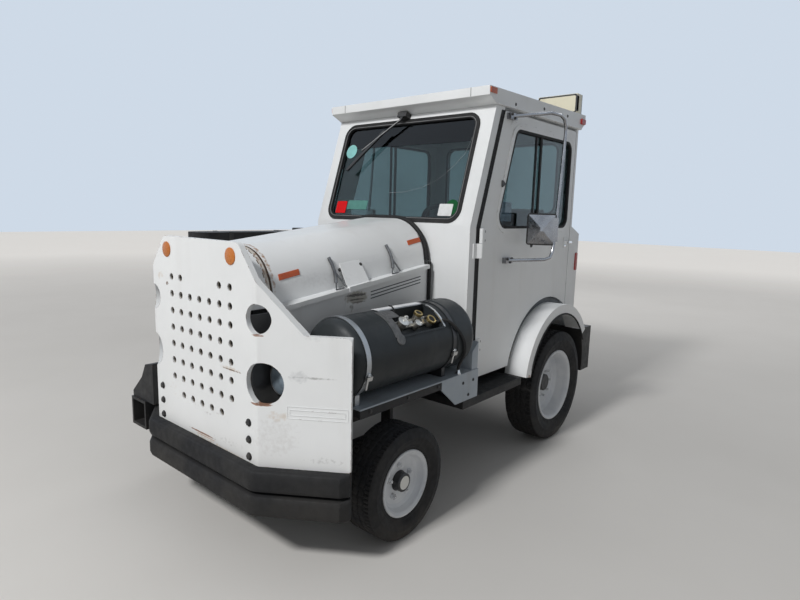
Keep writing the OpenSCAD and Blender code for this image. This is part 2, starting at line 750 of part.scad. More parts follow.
module cab_rear() color("white") difference() {
    union() {
        translate([-cab_hw, cab_rear_y - wall_t, belt_z - 60])
            cube([2 * cab_hw, wall_t, eave_z - fit - belt_z + 60]);
        difference() {
            translate([-cab_hw, 0, 0]) sheet_yz(2 * cab_hw) polygon([
                [cab_rear_y - wall_t, weight_top_z + fit], [tub_rear_y, weight_top_z + fit], [tub_rear_y, belt_z - 50],
                [cab_rear_y, belt_z], [cab_rear_y - wall_t, belt_z]
            ]);
            translate([-cab_hw + side_t, 0, 0]) sheet_yz(2 * (cab_hw - side_t)) polygon([
                [cab_rear_y - wall_t - 1, weight_top_z + wall_t], [tub_rear_y - wall_t, weight_top_z + wall_t],
                [tub_rear_y - wall_t, belt_z - 70], [cab_rear_y - wall_t - 1, belt_z - 40]
            ]);
        }
    }
    translate([0, cab_rear_y - 3 * wall_t, 0]) sheet_xz(4 * wall_t)
        polygon(window(rear_win_hw, rear_win_low_z, rear_win_top_z, screen_r));
    both_sides() translate([cab_hw - 200, arch_y, arch_z]) rotate([0, 90, 0]) cylinder(r = arch_r, h = 300);
}

module cab_roof() color("white") {
    translate([-cab_hw - 4, 0, 0]) sheet_yz(2 * cab_hw + 8) polygon([
        [roof_front_y, roof_front_z], [roof_front_y, roof_front_z - 46], [roof_front_y + 82, eave_z],
        [roof_rear_y - 66, eave_z], [roof_rear_y, roof_rear_z - 56], [roof_rear_y, roof_rear_z]
    ]);
    // drip rails along both sides
    both_sides() translate([cab_hw + 3, roof_front_y + 84, eave_z + 2])
        cube([11, roof_rear_y - roof_front_y - 152, 7]);
    // headers inside the doors' upper edges
    both_sides() translate([cab_hw - 2 * side_t - 6, door_front_y + 210, eave_z - 60])
        cube([side_t, cab_rear_y - wall_t - door_front_y - 210 - fit, 61]);
}

module cab_glass() color("#7f9a95", 0.4) {
    on_screen() translate([0, (wall_t - glass_t) / 2, 0]) sheet_xz(glass_t) polygon(
        window(screen_hw - 14, screen_low + 14, screen_low + screen_h - 14, screen_r - 14));
    translate([0, cab_rear_y - (wall_t + glass_t) / 2, 0]) sheet_xz(glass_t) polygon(
        window(rear_win_hw - 14, rear_win_low_z + 14, rear_win_top_z - 14, screen_r - 14));
}

// Rubber ring in a window hole, with a lip of width lip on the outer face at y = 0
module seal_ring(hw, low, top, r, lip, face) {
    difference() {
        union() {
            sheet_xz(wall_t) polygon(window(hw - fit, low + fit, top - fit, r - fit));
            translate([0, face, 0]) sheet_xz(lip / 2) polygon(window(hw + lip, low - lip, top + lip, r + lip));
        }
        translate([0, -wall_t, 0]) sheet_xz(3 * wall_t) polygon(window(hw - 14 + fit, low + 14 - fit, top - 14 + fit, r - 14 + fit));
    }
}

module window_seals() color("#1c1c1c") {
    on_screen() seal_ring(screen_hw, screen_low, screen_low + screen_h, screen_r, 14, -7);
    translate([0, cab_rear_y - wall_t, 0])
        seal_ring(rear_win_hw, rear_win_low_z, rear_win_top_z, screen_r, 14, wall_t);
}

// Arched rear fender: a sheet over the wheel with an outer lip, open below
module rear_fenders() color("white") both_sides() intersection() {
    difference() {
        turned(arch_y, arch_z) polygon([
            [fender_r - fender_t, cab_hw - side_t], [fender_r, cab_hw - side_t], [fender_r, fender_x],
            [fender_r - fender_lip, fender_x], [fender_r - fender_lip, fender_x - fender_t],
            [fender_r - fender_t, fender_x - fender_t]
        ]);
    }
    translate([cab_hw - 60, 0, 0]) sheet_yz(200) polygon([
        [arch_y, arch_z], [arch_y - 700, arch_z + 100], [arch_y - 700, arch_z + 900],
        [arch_y + 900, arch_z + 900], [arch_y + 900, arch_z + 560]
    ]);
}

module rear_weight() color("#202020") difference() {
    translate([-weight_hw, tub_rear_y - 60, weight_low_z])
        cube([2 * weight_hw, weight_rear_y - tub_rear_y + 60, weight_top_z - weight_low_z]);
    both_sides() translate([rail_hw - 200, arch_y, arch_z]) rotate([0, 90, 0]) cylinder(r = 440, h = 600);
}

module tow_hitch() color("#303030") difference() {
    union() {
        translate([-110, weight_rear_y + fit, weight_low_z + 20]) cube([220, 20, 260]);
        for (z = [weight_low_z + 50, weight_low_z + 150])
            hull() {
                translate([-60, weight_rear_y + 20, z]) cube([120, 10, 30]);
                translate([0, rear_end_y - 45, z]) cylinder(r = 45, h = 30, $fn = 32);
            }
    }
    translate([0, rear_end_y - 45, weight_low_z]) cylinder(r = hitch_bore_r, h = 300);
}

// The frame of the gas tank: z runs along its axis from the front tip to the rear, -y points up
module on_tank() translate([tank_x, tank_front_y, tank_z]) rotate([-90, 0, 0]) children();

// Points on a wedge from the tank's axis between two angles from the top towards the outside
function wedge(from, to, r) = concat([[0, 0]], [for (a = [from:(to - from) / 4:to]) [r * sin(a), -r * cos(a)]]);

// Shell with a dished front end, a collar at its rear and an opening for the valves on its outer upper side
module gas_tank() color("#3b3f41") on_tank() difference() {
    rotate_extrude() polygon(concat(
        [[0, 0]], [for (a = [15:15:90]) [tank_r * sin(a), tank_dome * (1 - cos(a))]],
        [[tank_r, tank_len - 160], [tank_r + 6, tank_len - 152]],
        [for (a = [90:-18:18]) [tank_r - 34 + 40 * sin(a), tank_len - 44 + 44 * cos(a)]], [[0, tank_len]]
    ));
    translate([0, 0, valve_y - tank_front_y]) intersection() {
        linear_extrude(valve_len) polygon(wedge(5, 62, 2 * tank_r));
        difference() {
            cylinder(r = tank_r + 20, h = valve_len);
            translate([0, 0, -1]) cylinder(r = tank_r - valve_depth, h = valve_len + 2);
        }
    }
}

// Band round the tank and a saddle below it, at each end, and a guard plate above the valves
module tank_straps() color("#9a9da0") {
    for (y = [tank_front_y + tank_dome + 13, tank_front_y + tank_len - 180]) {
        translate([tank_x, y, tank_z]) rotate([90, 0, 0]) difference() {
            cylinder(r = tank_r + 5, h = 26, center = true);
            cylinder(r = tank_r + fit, h = 42, center = true);
        }
        difference() {
            translate([tank_x - 110, y - 13, deck_z + fit]) cube([220, 26, tank_z - tank_r - deck_z + 40]);
            translate([tank_x, y, tank_z]) rotate([90, 0, 0]) cylinder(r = tank_r + 3, h = 80, center = true);
        }
    }
    on_tank() rotate([0, 0, 2]) translate([-30, -tank_r - 4, valve_y - tank_front_y + 10]) cube([48, 3.5, valve_len - 30]);
}

// Valves on a pipe in the tank's opening: angle from the top, distance along the tank, radius, height
module tank_fittings() color("#b8b4a8") on_tank() {
    core = tank_r - valve_depth + fit;
    for (v = [[24, 0.1, 15, 30], [38, 0.26, 21, 40], [28, 0.42, 12, 34], [44, 0.56, 17, 30], [26, 0.7, 19, 42], [42, 0.88, 22, 34]])
        rotate([0, 0, v[0]]) translate([0, -core, valve_y - tank_front_y + v[1] * valve_len]) rotate([90, 0, 0])
            cylinder(r = v[2], h = v[3]);
    for (a = [27, 41]) rotate([0, 0, a]) translate([0, -core - 9, valve_y - tank_front_y + 12])
        cylinder(r = 8, h = valve_len - 24);
}

module side_tank() color("#1c1c1c") translate([-casing_hw - side_tank_gap - side_tank_w, side_tank_y, deck_z + fit])
    linear_extrude(side_tank_h) polygon(rounded([
        [0, 0, 60], [side_tank_w, 0, 60], [side_tank_w, side_tank_len, 30], [0, side_tank_len, 30]
    ]));

// Square tube on the right wing, with a black wedge on top of it
module corner_socket() color("#202020") mirror([1, 0, 0]) difference() {
    union() {
        difference() {
            translate([socket_x, 30, socket_z]) cube([150, 220, 150]);
            translate([socket_x + 14, 20, socket_z + 14]) cube([122, 130, 122]);
        }
        translate([0, 40, 0]) sheet_xz(250) polygon([
            [socket_x + 4, socket_z + 149], [socket_x + 150, socket_z + 149], [socket_x + 150, socket_z + 178],
            [socket_x + 46, socket_z + 272], [socket_x + 4, socket_z + 345], [socket_x - 74, socket_z + 362],
            [socket_x - 74, socket_z + 149]
        ]);
    }
    on_wing() translate([-300, -fit, 0]) cube([900, 400, 900]);
}

// Side view of the seat: [y, z, corner radius] of its base and of its leaning back
module seat() color("#25282a") translate([wheel_x - seat_w / 2, seat_y, seat_box_z + fit]) {
    sheet_yz(seat_w) polygon(rounded([[0, 0, 10], [430, 0, 10], [450, 90, 20], [30, 130, 50]]));
    translate([20, 0, 0]) sheet_yz(seat_w - 40) polygon(rounded([
        [340, 60, 10], [430, 60, 10], [520, seat_h, 30], [440, seat_h, 40]
    ]));
}

// Side view of the dashboard, with a hood over the gauges in front of the driver
module dashboard() color("#2c2f31") translate([0, cab_front_y + wall_t + fit, dash_low_z]) {
    h = dash_top_z - dash_low_z;
    translate([-dash_hw, 0, 0]) sheet_yz(2 * dash_hw) polygon(rounded([
        [0, 0, 0], [dash_d * 0.6, 0, 20], [dash_d, h * 0.45, 20], [dash_d - 30, h, 24], [0, h, 0]
    ]));
    translate([wheel_x - 150, 0, 0]) sheet_yz(300) polygon(rounded([
        [1, h * 0.5, 0], [dash_d, h * 0.5, 10], [dash_d, h + 12, 10], [8, h + 30, 0], [1, h - 4, 0]
    ]));
}

module steering_wheel() color("#1c1c1c") translate([wheel_x, wheel_y, wheel_z]) rotate([wheel_tilt, 0, 0]) {
    rotate_extrude() translate([wheel_r, 0]) circle(r = 13, $fn = 24);
    for (a = [0:120:240]) rotate([0, 0, a + 90]) translate([0, -12, -6]) cube([wheel_r - 5, 24, 10]);
    translate([0, 0, -14]) cylinder(r = 40, h = 30);
    intersection() {
        translate([0, 0, -500]) cylinder(r = 24, h = 490);
        rotate([-wheel_tilt, 0, 0]) translate([-60, cab_front_y + wall_t + dash_d + 2 * fit - wheel_y, -500])
            cube([120, 600, 700]);
    }
}

// Forged front axle with an eye for each kingpin, and its leaf springs
module front_axle() color("#262626") {
    difference() {
        union() {
            translate([-kingpin_x, front_axle_y - 26, front_tyre_r - 30]) cube([2 * kingpin_x, 52, 60]);
            both_sides() translate([kingpin_x, front_axle_y, front_tyre_r - 45]) cylinder(r = 34, h = 90);
        }
        both_sides() translate([kingpin_x, front_axle_y, 0]) cylinder(r = kingpin_r + running, h = 600);
    }
    both_sides() leaf_spring(front_axle_y, front_tyre_r + 30, 300);
}

// Leaf spring under a rail: three leaves on the axle and two hangers up to the rail
module leaf_spring(y, low, half) {
    for (leaf = [[0, 1], [1, 0.75], [2, 0.5]])
        translate([rail_hw - rail_w, y - half * leaf[1], low + 24 - leaf[0] * 12])
            cube([rail_w, 2 * half * leaf[1], 12]);
    for (side = [-1, 1])
        translate([rail_hw - rail_w, y + side * (half - 12) - 12, low + 30])
            cube([rail_w, 24, rail_low_z - fit - low - 30]);
}

// Steering knuckle: a fork round the axle's eye, the kingpin, the wheel spindle and the steering arm
module knuckle() translate([kingpin_x, front_axle_y, front_tyre_r]) {
    for (z = [-72, 50]) {
        hull() {
            translate([0, 0, z]) cylinder(r = 34, h = 22, $fn = 32);
            translate([40, -34, z]) cube([22, 68, 22]);
        }
    }
    translate([40, -34, -72]) cube([22, 68, 144]);
    translate([0, 0, -72]) cylinder(r = kingpin_r, h = 144);
    rotate([0, 90, 0]) translate([0, 0, 50]) cylinder(r = spindle_r, h = front_rim_x - front_hub_depth - kingpin_x - 58);
    translate([-12, 0, -72]) cube([24, 160, 22]);
    translate([0, 150, -72]) cylinder(r = 20, h = 22);
    translate([0, 150, -102]) cylinder(r = 9, h = 40);
}

module tie_rod() color("#2a2a2a") difference() {
    union() {
        both_sides() translate([kingpin_x, front_axle_y + 150, front_tyre_r - 100]) cylinder(r = 20, h = 24);
        translate([-kingpin_x, front_axle_y + 150, front_tyre_r - 88]) rotate([0, 90, 0])
            cylinder(r = 10, h = 2 * kingpin_x);
    }
    translate([kingpin_x, front_axle_y + 150, 0]) cylinder(r = 9 + running, h = 300);
    translate([-kingpin_x, front_axle_y + 150, 0]) cylinder(r = 11, h = 300);
}

// Tyre section between the rim's lips and the tread, centred on x = mid
function tyre_section(lip_r, r, w, mid) =
    let(half = [[lip_r - 16 + fit, 0.38, 0], [lip_r + 4, 0.38, 0], [(lip_r + r) / 2, 0.5, 24], [r, 0.43, 24]])
    rounded(concat(
        [for (p = half) [p[0], mid + w * p[1], p[2]]],
        [for (i = [3:-1:0]) [half[i][0], mid - w * half[i][1], half[i][2]]]
    ), 3);

module tyre(y, lip_r, r, w, rim_x) color("#1b1b1b")
    turned(y, r) polygon(tyre_section(lip_r, r, w, rim_x - w * 0.42));

// Rim with lips and a dished disc; the hub is bored for the axle from inside and closed by its cap
module rim(y, z, lip_r, w, rim_x, bore, hub_in, hub_r, bowl, hub_depth, nuts) color("white") {
    disc = rim_x - bowl;
    cap = rim_x - hub_depth;
    turned(y, z) polygon([
        [bore, hub_in], [hub_r + 12, hub_in], [hub_r + 12, disc - 12], [lip_r * 0.62, disc - 12],
        [lip_r - 44, disc], [lip_r - 26, rim_x - w * 0.36], [lip_r - 26, rim_x - w * 0.84],
        [lip_r, rim_x - w * 0.84], [lip_r, rim_x - w * 0.80 - fit], [lip_r - 16, rim_x - w * 0.80 - fit],
        [lip_r - 16, rim_x - w * 0.04 + fit], [lip_r, rim_x - w * 0.04 + fit], [lip_r, rim_x - 3],
        [lip_r - 3, rim_x], [lip_r - 10, rim_x], [lip_r - 20, rim_x - 9], [lip_r - 25, rim_x - 22],
        [lip_r - 32, rim_x - bowl * 0.72], [lip_r - 46, rim_x - bowl * 0.93], [lip_r - 62, disc], [hub_r, disc],
        [hub_r, cap - 4], [hub_r - 5, cap], [0, cap], [0, cap - 6], [bore, cap - 6]
    ]);
    // wheel nuts on their studs: radius of their circle, nut radius and number
    for (i = [0:nuts[2] - 1])
        translate([disc - 1, y, z]) rotate([360 * i / nuts[2], 0, 0]) translate([0, 0, nuts[0]])
            rotate([0, 90, 0]) {
                cylinder(r = nuts[1], h = 17, $fn = 6);
                cylinder(r = nuts[1] * 0.55, h = 17 + nuts[3], $fn = 12);
            }
}

module front_tyre() tyre(front_axle_y, front_lip_r, front_tyre_r, front_tyre_w, front_rim_x);
module front_rim() rim(front_axle_y, front_tyre_r, front_lip_r, front_tyre_w, front_rim_x,
    spindle_r + running, kingpin_x + 70, 42, front_bowl, front_hub_depth, [72, 12, 5, 6]);
module rear_tyre() tyre(rear_axle_y, rear_lip_r, rear_tyre_r, rear_tyre_w, rear_rim_x);
module rear_rim() rim(rear_axle_y, rear_tyre_r, rear_lip_r, rear_tyre_w, rear_rim_x,
    rear_shaft_r + running, 480, 54, rear_bowl, rear_hub_depth, [88, 14, 8, 26]);

// Housing and shafts turned in one piece, and the leaf springs on it
module rear_axle() color("#262626") {
    end = rear_rim_x - rear_hub_depth - 8;
    half = [[rear_shaft_r, end], [rear_shaft_r, 440], [52, 440], [52, 150], [90, 132], [125, 88], [140, 40]];
    turned(rear_axle_y, rear_tyre_r) polygon(concat(
        [[0, end]], half, [for (i = [6:-1:0]) [half[i][0], -half[i][1]]], [[0, -end]]));
    both_sides() leaf_spring(rear_axle_y, rear_tyre_r + 36, 340);
}

// Side view of a door; the arch of the rear wheel is cut from it later
function door_outline() =
    let(lean = (door_top_z - belt_z) * tan(rake))
    rounded([[door_front_y, door_low_z, 10], [door_rear_y, door_low_z, 10], [door_rear_y, door_top_z, 20],
        [door_front_y + lean, door_top_z, 20], [door_front_y, belt_z, 0]]);

// Side view of a door's window
function door_window(inset) =
    let(lean = (door_win_top_z - door_win_low_z) * tan(rake), front = door_front_y + 150)
    rounded([[front + inset, door_win_low_z + inset, 70 - inset],
        [door_rear_y - 58 - inset, door_win_low_z + inset, 70 - inset],
        [door_rear_y - 58 - inset, door_win_top_z - inset, 60 - inset],
        [front + lean + inset, door_win_top_z - inset, 60 - inset]]);

// One half of a lift-off door hinge: a barrel with a leaf on the door (side 1) or on the pillar (side -1)
module door_hinge(low, high, side) translate([0, 0, low]) linear_extrude(high - low) {
    translate([hinge_x, hinge_y]) circle(r = hinge_r, $fn = 32);
    polygon([
        [cab_hw - 1, hinge_y + side * (hinge_r + 4)], [hinge_x - 7, hinge_y - side * 7], [hinge_x + 7, hinge_y + side * 8],
        [cab_hw + 6, hinge_y + side * (hinge_r + 12)], [cab_hw + 6, hinge_y + side * 52], [cab_hw - 1, hinge_y + side * 52]
    ]);
}

module door() color("white") {
    for (z = hinge_z) door_hinge(z, z + hinge_len / 2, 1);
    // raised rim round the window
    translate([cab_hw - 1, 0, 0]) sheet_yz(6) difference() {
        polygon(door_window(-24));
        polygon(door_window(0));
    }
    // handle
    translate([cab_hw - 1, door_rear_y - 84, handle_z - 34]) cube([5, 42, 68]);
    translate([cab_hw + 3, door_rear_y - 76, handle_z - 10]) cube([20, 20, 20]);
    translate([cab_hw + 18, door_rear_y - 76, handle_z - 10]) cube([9, 72, 18]);
    difference() {
        translate([cab_hw - side_t, 0, 0]) sheet_yz(side_t) polygon(door_outline());
        translate([cab_hw - 2 * side_t, 0, 0]) sheet_yz(3 * side_t) polygon(door_window(0));
        translate([cab_hw - 100, arch_y, arch_z]) rotate([0, 90, 0]) cylinder(r = arch_r, h = 200);
    }
}

module door_glass() color("#7f9a95", 0.4) translate([cab_hw - side_t / 2 - glass_t / 2, 0, 0])
    sheet_yz(glass_t) polygon(door_window(fit));

// Bent round bar of radius r through a list of points that doesn't run along X
module bent_bar(points, r, n = 12) {
    last = len(points) - 1;
    dirs = [for (i = [0:last]) unit(points[min(i + 1, last)] - points[max(i - 1, 0)])];
    rings = [for (i = [0:last])
        let(a = unit(cross(dirs[i], [1, 0, 0])), b = cross(a, dirs[i]))
        for (k = [0:n - 1]) points[i] + r * (a * cos(360 * k / n) + b * sin(360 * k / n))];
    sides = [for (i = [0:last - 1], k = [0:n - 1])
        let(p = i * n + k, q = i * n + (k + 1) % n)
        each [[p, q, q + n], [p, q + n, p + n]]];
    polyhedron(points = rings, faces = concat(
        [[for (k = [n - 1:-1:0]) k]], sides, [[for (k = [0:n - 1]) last * n + k]]));
}

// Tube from a foot at the door's top round to one below its window, and the mirror's head on it
module mirror_arm() color("#8a8d8f") {
    x = mirror_x;
    y = mirror_y;
    bent_bar([
        [cab_hw + 16, y - 297, arm_top_z - 32], [x - 14, y - 107, arm_top_z], [x - 4, y - 17, arm_top_z],
        [x, y + 23, arm_top_z - 16], [x, y + 45, arm_top_z - 52], [x, y + 49, arm_top_z - 92],
        [x, y - 9, arm_low_z + 82], [x, y - 21, arm_low_z + 38], [x, y - 47, arm_low_z + 10],
        [x - 10, y - 93, arm_low_z], [cab_hw + 16, y - 267, arm_low_z - 6]
    ], arm_r);
    for (foot = [[y - 297, arm_top_z - 32], [y - 267, arm_low_z - 6]])
        translate([cab_hw + fit, foot[0] - 30, foot[1] - 16]) cube([26, 70, 32]);
    // head with a pyramid for its back, turned so that the driver sees along the tractor's side
    translate([x, y, mirror_z]) rotate([0, 0, mirror_turn]) {
        translate([-mirror_w, -8, -mirror_h / 2]) cube([mirror_w, 12, mirror_h]);
        translate([-mirror_w / 2, -7, 0]) rotate([90, 0, 0])
            linear_extrude(mirror_d, scale = 0.12) square([mirror_w, mirror_h], center = true);
        translate([-14, -16, -mirror_h / 2 + 20]) cube([28, 26, mirror_h - 40]);
    }
}

// Height of the roof's upper face at y
function roof_z(y) =
    roof_front_z + (roof_rear_z - roof_front_z) * (y - roof_front_y) / (roof_rear_y - roof_front_y);

module roof_lamp() color("#f2efe2") translate([lamp_x, 0, 0]) sheet_yz(lamp_w) polygon([
    [lamp_y, roof_z(lamp_y) + fit], [lamp_y + lamp_d, roof_z(lamp_y + lamp_d) + fit],
    [lamp_y + lamp_d, roof_rear_z + lamp_h], [lamp_y, roof_rear_z + lamp_h]
]);

module lamps() color("#c8641e") {
    both_sides() translate([cab_hw + 4 + fit, roof_front_y + 4, roof_front_z - 34]) cube([6, 60, 28]);
    both_sides() {
        // headlamp turned about its axis: [radius, distance in front of its back]
        translate([casing_hw + 82, 190, lamp_z]) rotate([90, 0, 0]) rotate_extrude() polygon([
            [0, 0], [26, 4], [56, 26], [72, 56], [78, 60], [78, 74], [68, 76], [46, 86], [20, 91], [0, 92]
        ]);
        translate([casing_hw + fit, 130, lamp_z - 20]) cube([20, 30, 40]);
    }
}

// Wiper motor under the roof's visor, its arm and its blade across the windscreen
module wiper() color("#262626") on_screen() {
    top = screen_low + screen_h + 16;
    translate([-58, -46, top]) cube([66, 46 - fit, 27]);
    translate([-26, -28, top - 8]) rotate([90, 0, 0]) cylinder(r = 10, h = 16);
    // one end, the other end and thickness
    for (bar = [[[-26, -8], [-294, -192], 7], [[-150, -84], [-385, -314], 12]])
        hull() for (end = [bar[0], bar[1]])
            translate([end[0], -34 - bar[2] / 2, top + end[1]]) cube(bar[2]);
}

place() front_plate();
place() bumper_rubbers();
place() main_frame();
place() side_decks();
place() nose_shell();
place() engine_casing();
place() radiator();
place() engine();
place() cab_floor();
place() cab_front();
place() cab_rear();
place() cab_roof();
place() cab_glass();
place() window_seals();
place() rear_fenders();
place() rear_weight();
place() tow_hitch();
place() gas_tank();
place() tank_straps();
place() tank_fittings();
place() side_tank();
place() corner_socket();
place() seat();
place() dashboard();
place() steering_wheel();
place() front_axle();
place() rear_axle();
place() roof_lamp();
place() lamps();
place() wiper();
place() hood();
place() hood_latches();
place() door();  // door_left
place() door_glass();  // door_left_glass
place() mirror_arm();  // mirror_left
place() mirror([1, 0, 0]) door();  // door_right
place() mirror([1, 0, 0]) door_glass();  // door_right_glass
place() mirror([1, 0, 0]) mirror_arm();  // mirror_right
place() color("#2a2a2a") knuckle();  // knuckle_left
place() color("#2a2a2a") mirror([1, 0, 0]) knuckle();  // knuckle_right
place() tie_rod();
place() front_tyre();  // front_tyre_left
place() front_rim();  // front_rim_left
place() mirror([1, 0, 0]) front_tyre();  // front_tyre_right
place() mirror([1, 0, 0]) front_rim();  // front_rim_right
place() rear_tyre();  // rear_tyre_left
place() rear_rim();  // rear_rim_left
place() mirror([1, 0, 0]) rear_tyre();  // rear_tyre_right
place() mirror([1, 0, 0]) rear_rim();  // rear_rim_right
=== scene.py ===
"""Looks of the aircraft pushback tractor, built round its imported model.

Lengths are metres. It drives towards -Y, its left is +X, and places count y from the front plate's face.
"""

import json
from functools import cache
from math import cos, exp, pi, radians, sin, tan

import bmesh
import bpy
from mathutils import Matrix, Vector
from mathutils.bvhtree import BVHTree


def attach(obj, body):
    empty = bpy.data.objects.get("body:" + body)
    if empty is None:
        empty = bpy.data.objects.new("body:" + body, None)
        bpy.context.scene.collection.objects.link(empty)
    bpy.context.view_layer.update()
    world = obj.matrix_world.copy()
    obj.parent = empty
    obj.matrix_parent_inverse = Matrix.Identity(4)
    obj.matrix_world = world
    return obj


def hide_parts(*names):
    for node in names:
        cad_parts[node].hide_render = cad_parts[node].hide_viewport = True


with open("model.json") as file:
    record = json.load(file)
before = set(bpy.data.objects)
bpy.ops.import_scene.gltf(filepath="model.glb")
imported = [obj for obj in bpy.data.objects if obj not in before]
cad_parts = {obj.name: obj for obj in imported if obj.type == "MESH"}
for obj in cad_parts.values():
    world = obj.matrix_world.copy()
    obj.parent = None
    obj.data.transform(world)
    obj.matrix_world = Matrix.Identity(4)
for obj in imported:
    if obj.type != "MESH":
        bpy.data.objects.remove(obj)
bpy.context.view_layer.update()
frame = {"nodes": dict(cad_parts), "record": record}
NODES = frame["nodes"]
SCENE = bpy.context.scene

# Distance of the model's origin behind the front plate's face
MID_Y = 1.351

# Main sizes and places of the tractor
FACE_HW = 0.398
WING_ANGLE = radians(33.9)
CASING_X = 0.334
CAB_FRONT_Y = 1.166
CAB_REAR_Y = 2.392
TUB_REAR_Y = 2.515
BELT_Z = 1.366
RAKE = radians(17.6)
DOOR_FRONT_Y, DOOR_REAR_Y, DOOR_SKIN_X = 1.259, 2.356, 0.5748
WINDOW_LOW_Z, WINDOW_TOP_Z = 1.357, 1.898
FRONT_AXLE_Y, FRONT_TYRE_R = 0.564, 0.252
REAR_AXLE_Y, REAR_TYRE_R = 2.110, 0.351
TANK_X, TANK_Z, TANK_R = 0.515, 0.832, 0.17

SIDES = (("left", 1), ("right", -1))
UP, BACK = (0, 0, 1), (0, 1, 0)


# Materials

def add(source, kind, inputs=None, **props):
    """A new node in the tree of the source, which is a tree or a socket; inputs are values or sockets."""
    tree = source.id_data
    node = tree.nodes.new(kind)
    for key, value in props.items():
        setattr(node, key, value)
    for key, value in (inputs or {}).items():
        if isinstance(value, bpy.types.NodeSocket):
            tree.links.new(value, node.inputs[key])
        else:
            node.inputs[key].default_value = value
    return node


def calc(operation, a, b=0, clamp=False):
    source = a if isinstance(a, bpy.types.NodeSocket) else b
    return add(source, "ShaderNodeMath", {0: a, 1: b}, operation=operation, use_clamp=clamp).outputs[0]


def times(a, b):
    return calc("MULTIPLY", a, b)


def between(value, low, high, first, last):
    """first at low and last at high."""
    values = {0: value, 1: low, 2: high, 3: first, 4: last}
    return add(value, "ShaderNodeMapRange", values, clamp=True).outputs[0]


def ramp(value, low, high):
    return between(value, low, high, 0, 1)


def noise(coords, scale, detail, stretch=(1, 1, 1)):
    moved = add(coords, "ShaderNodeMapping", {"Vector": coords, "Scale": stretch}).outputs[0]
    return add(coords, "ShaderNodeTexNoise", {"Vector": moved, "Scale": scale, "Detail": detail}).outputs[0]


def vector(operation, a, b=(0, 0, 0), result=0):
    return add(a, "ShaderNodeVectorMath", {0: a, 1: b}, operation=operation).outputs[result]


def axes(coords):
    return add(coords, "ShaderNodeSeparateXYZ", {0: coords}).outputs


def object_coords(tree):
    return add(tree, "ShaderNodeTexCoord").outputs["Object"]


def blend(factor, a, b):
    """Colour between a and b, each a colour or a socket."""
    a, b = (c if isinstance(c, bpy.types.NodeSocket) else (*c, 1) for c in (a, b))
    return add(factor, "ShaderNodeMix", {0: factor, 6: a, 7: b}, data_type="RGBA").outputs[2]


def edge_mask(tree, radius):
    """Grows along edges sharper than the radius."""
    soft = add(tree, "ShaderNodeBevel", {"Radius": radius}, samples=6).outputs[0]
    true = add(tree, "ShaderNodeNewGeometry").outputs["Normal"]
    return calc("SUBTRACT", 1, vector("DOT_PRODUCT", soft, true, "Value"), clamp=True)


def spot(coords, x, y, z, *radii):
    """1 inside an ellipsoid about a place, fading to 0 at its skin."""
    moved = vector("SUBTRACT", coords, (x, y - MID_Y, z))
    return ramp(vector("LENGTH", vector("DIVIDE", moved, radii), result="Value"), 1, 0.45)


def axle_distance(coords, y, z):
    """Distance from an axle along X."""
    part = axes(coords)
    dy = calc("SUBTRACT", part[1], y - MID_Y)
    dz = calc("SUBTRACT", part[2], z)
    return calc("SQRT", calc("ADD", times(dy, dy), times(dz, dz)))


def inside_box(coords, low, high):
    """1 inside a box given by two corners."""
    part = axes(coords)
    mask = 1
    for axis, shift in enumerate((0, MID_Y, 0)):
        for edge, step in ((low[axis] - shift, 0.0005), (high[axis] - shift, -0.0005)):
            mask = times(ramp(part[axis], edge, edge + step), mask)
    return mask


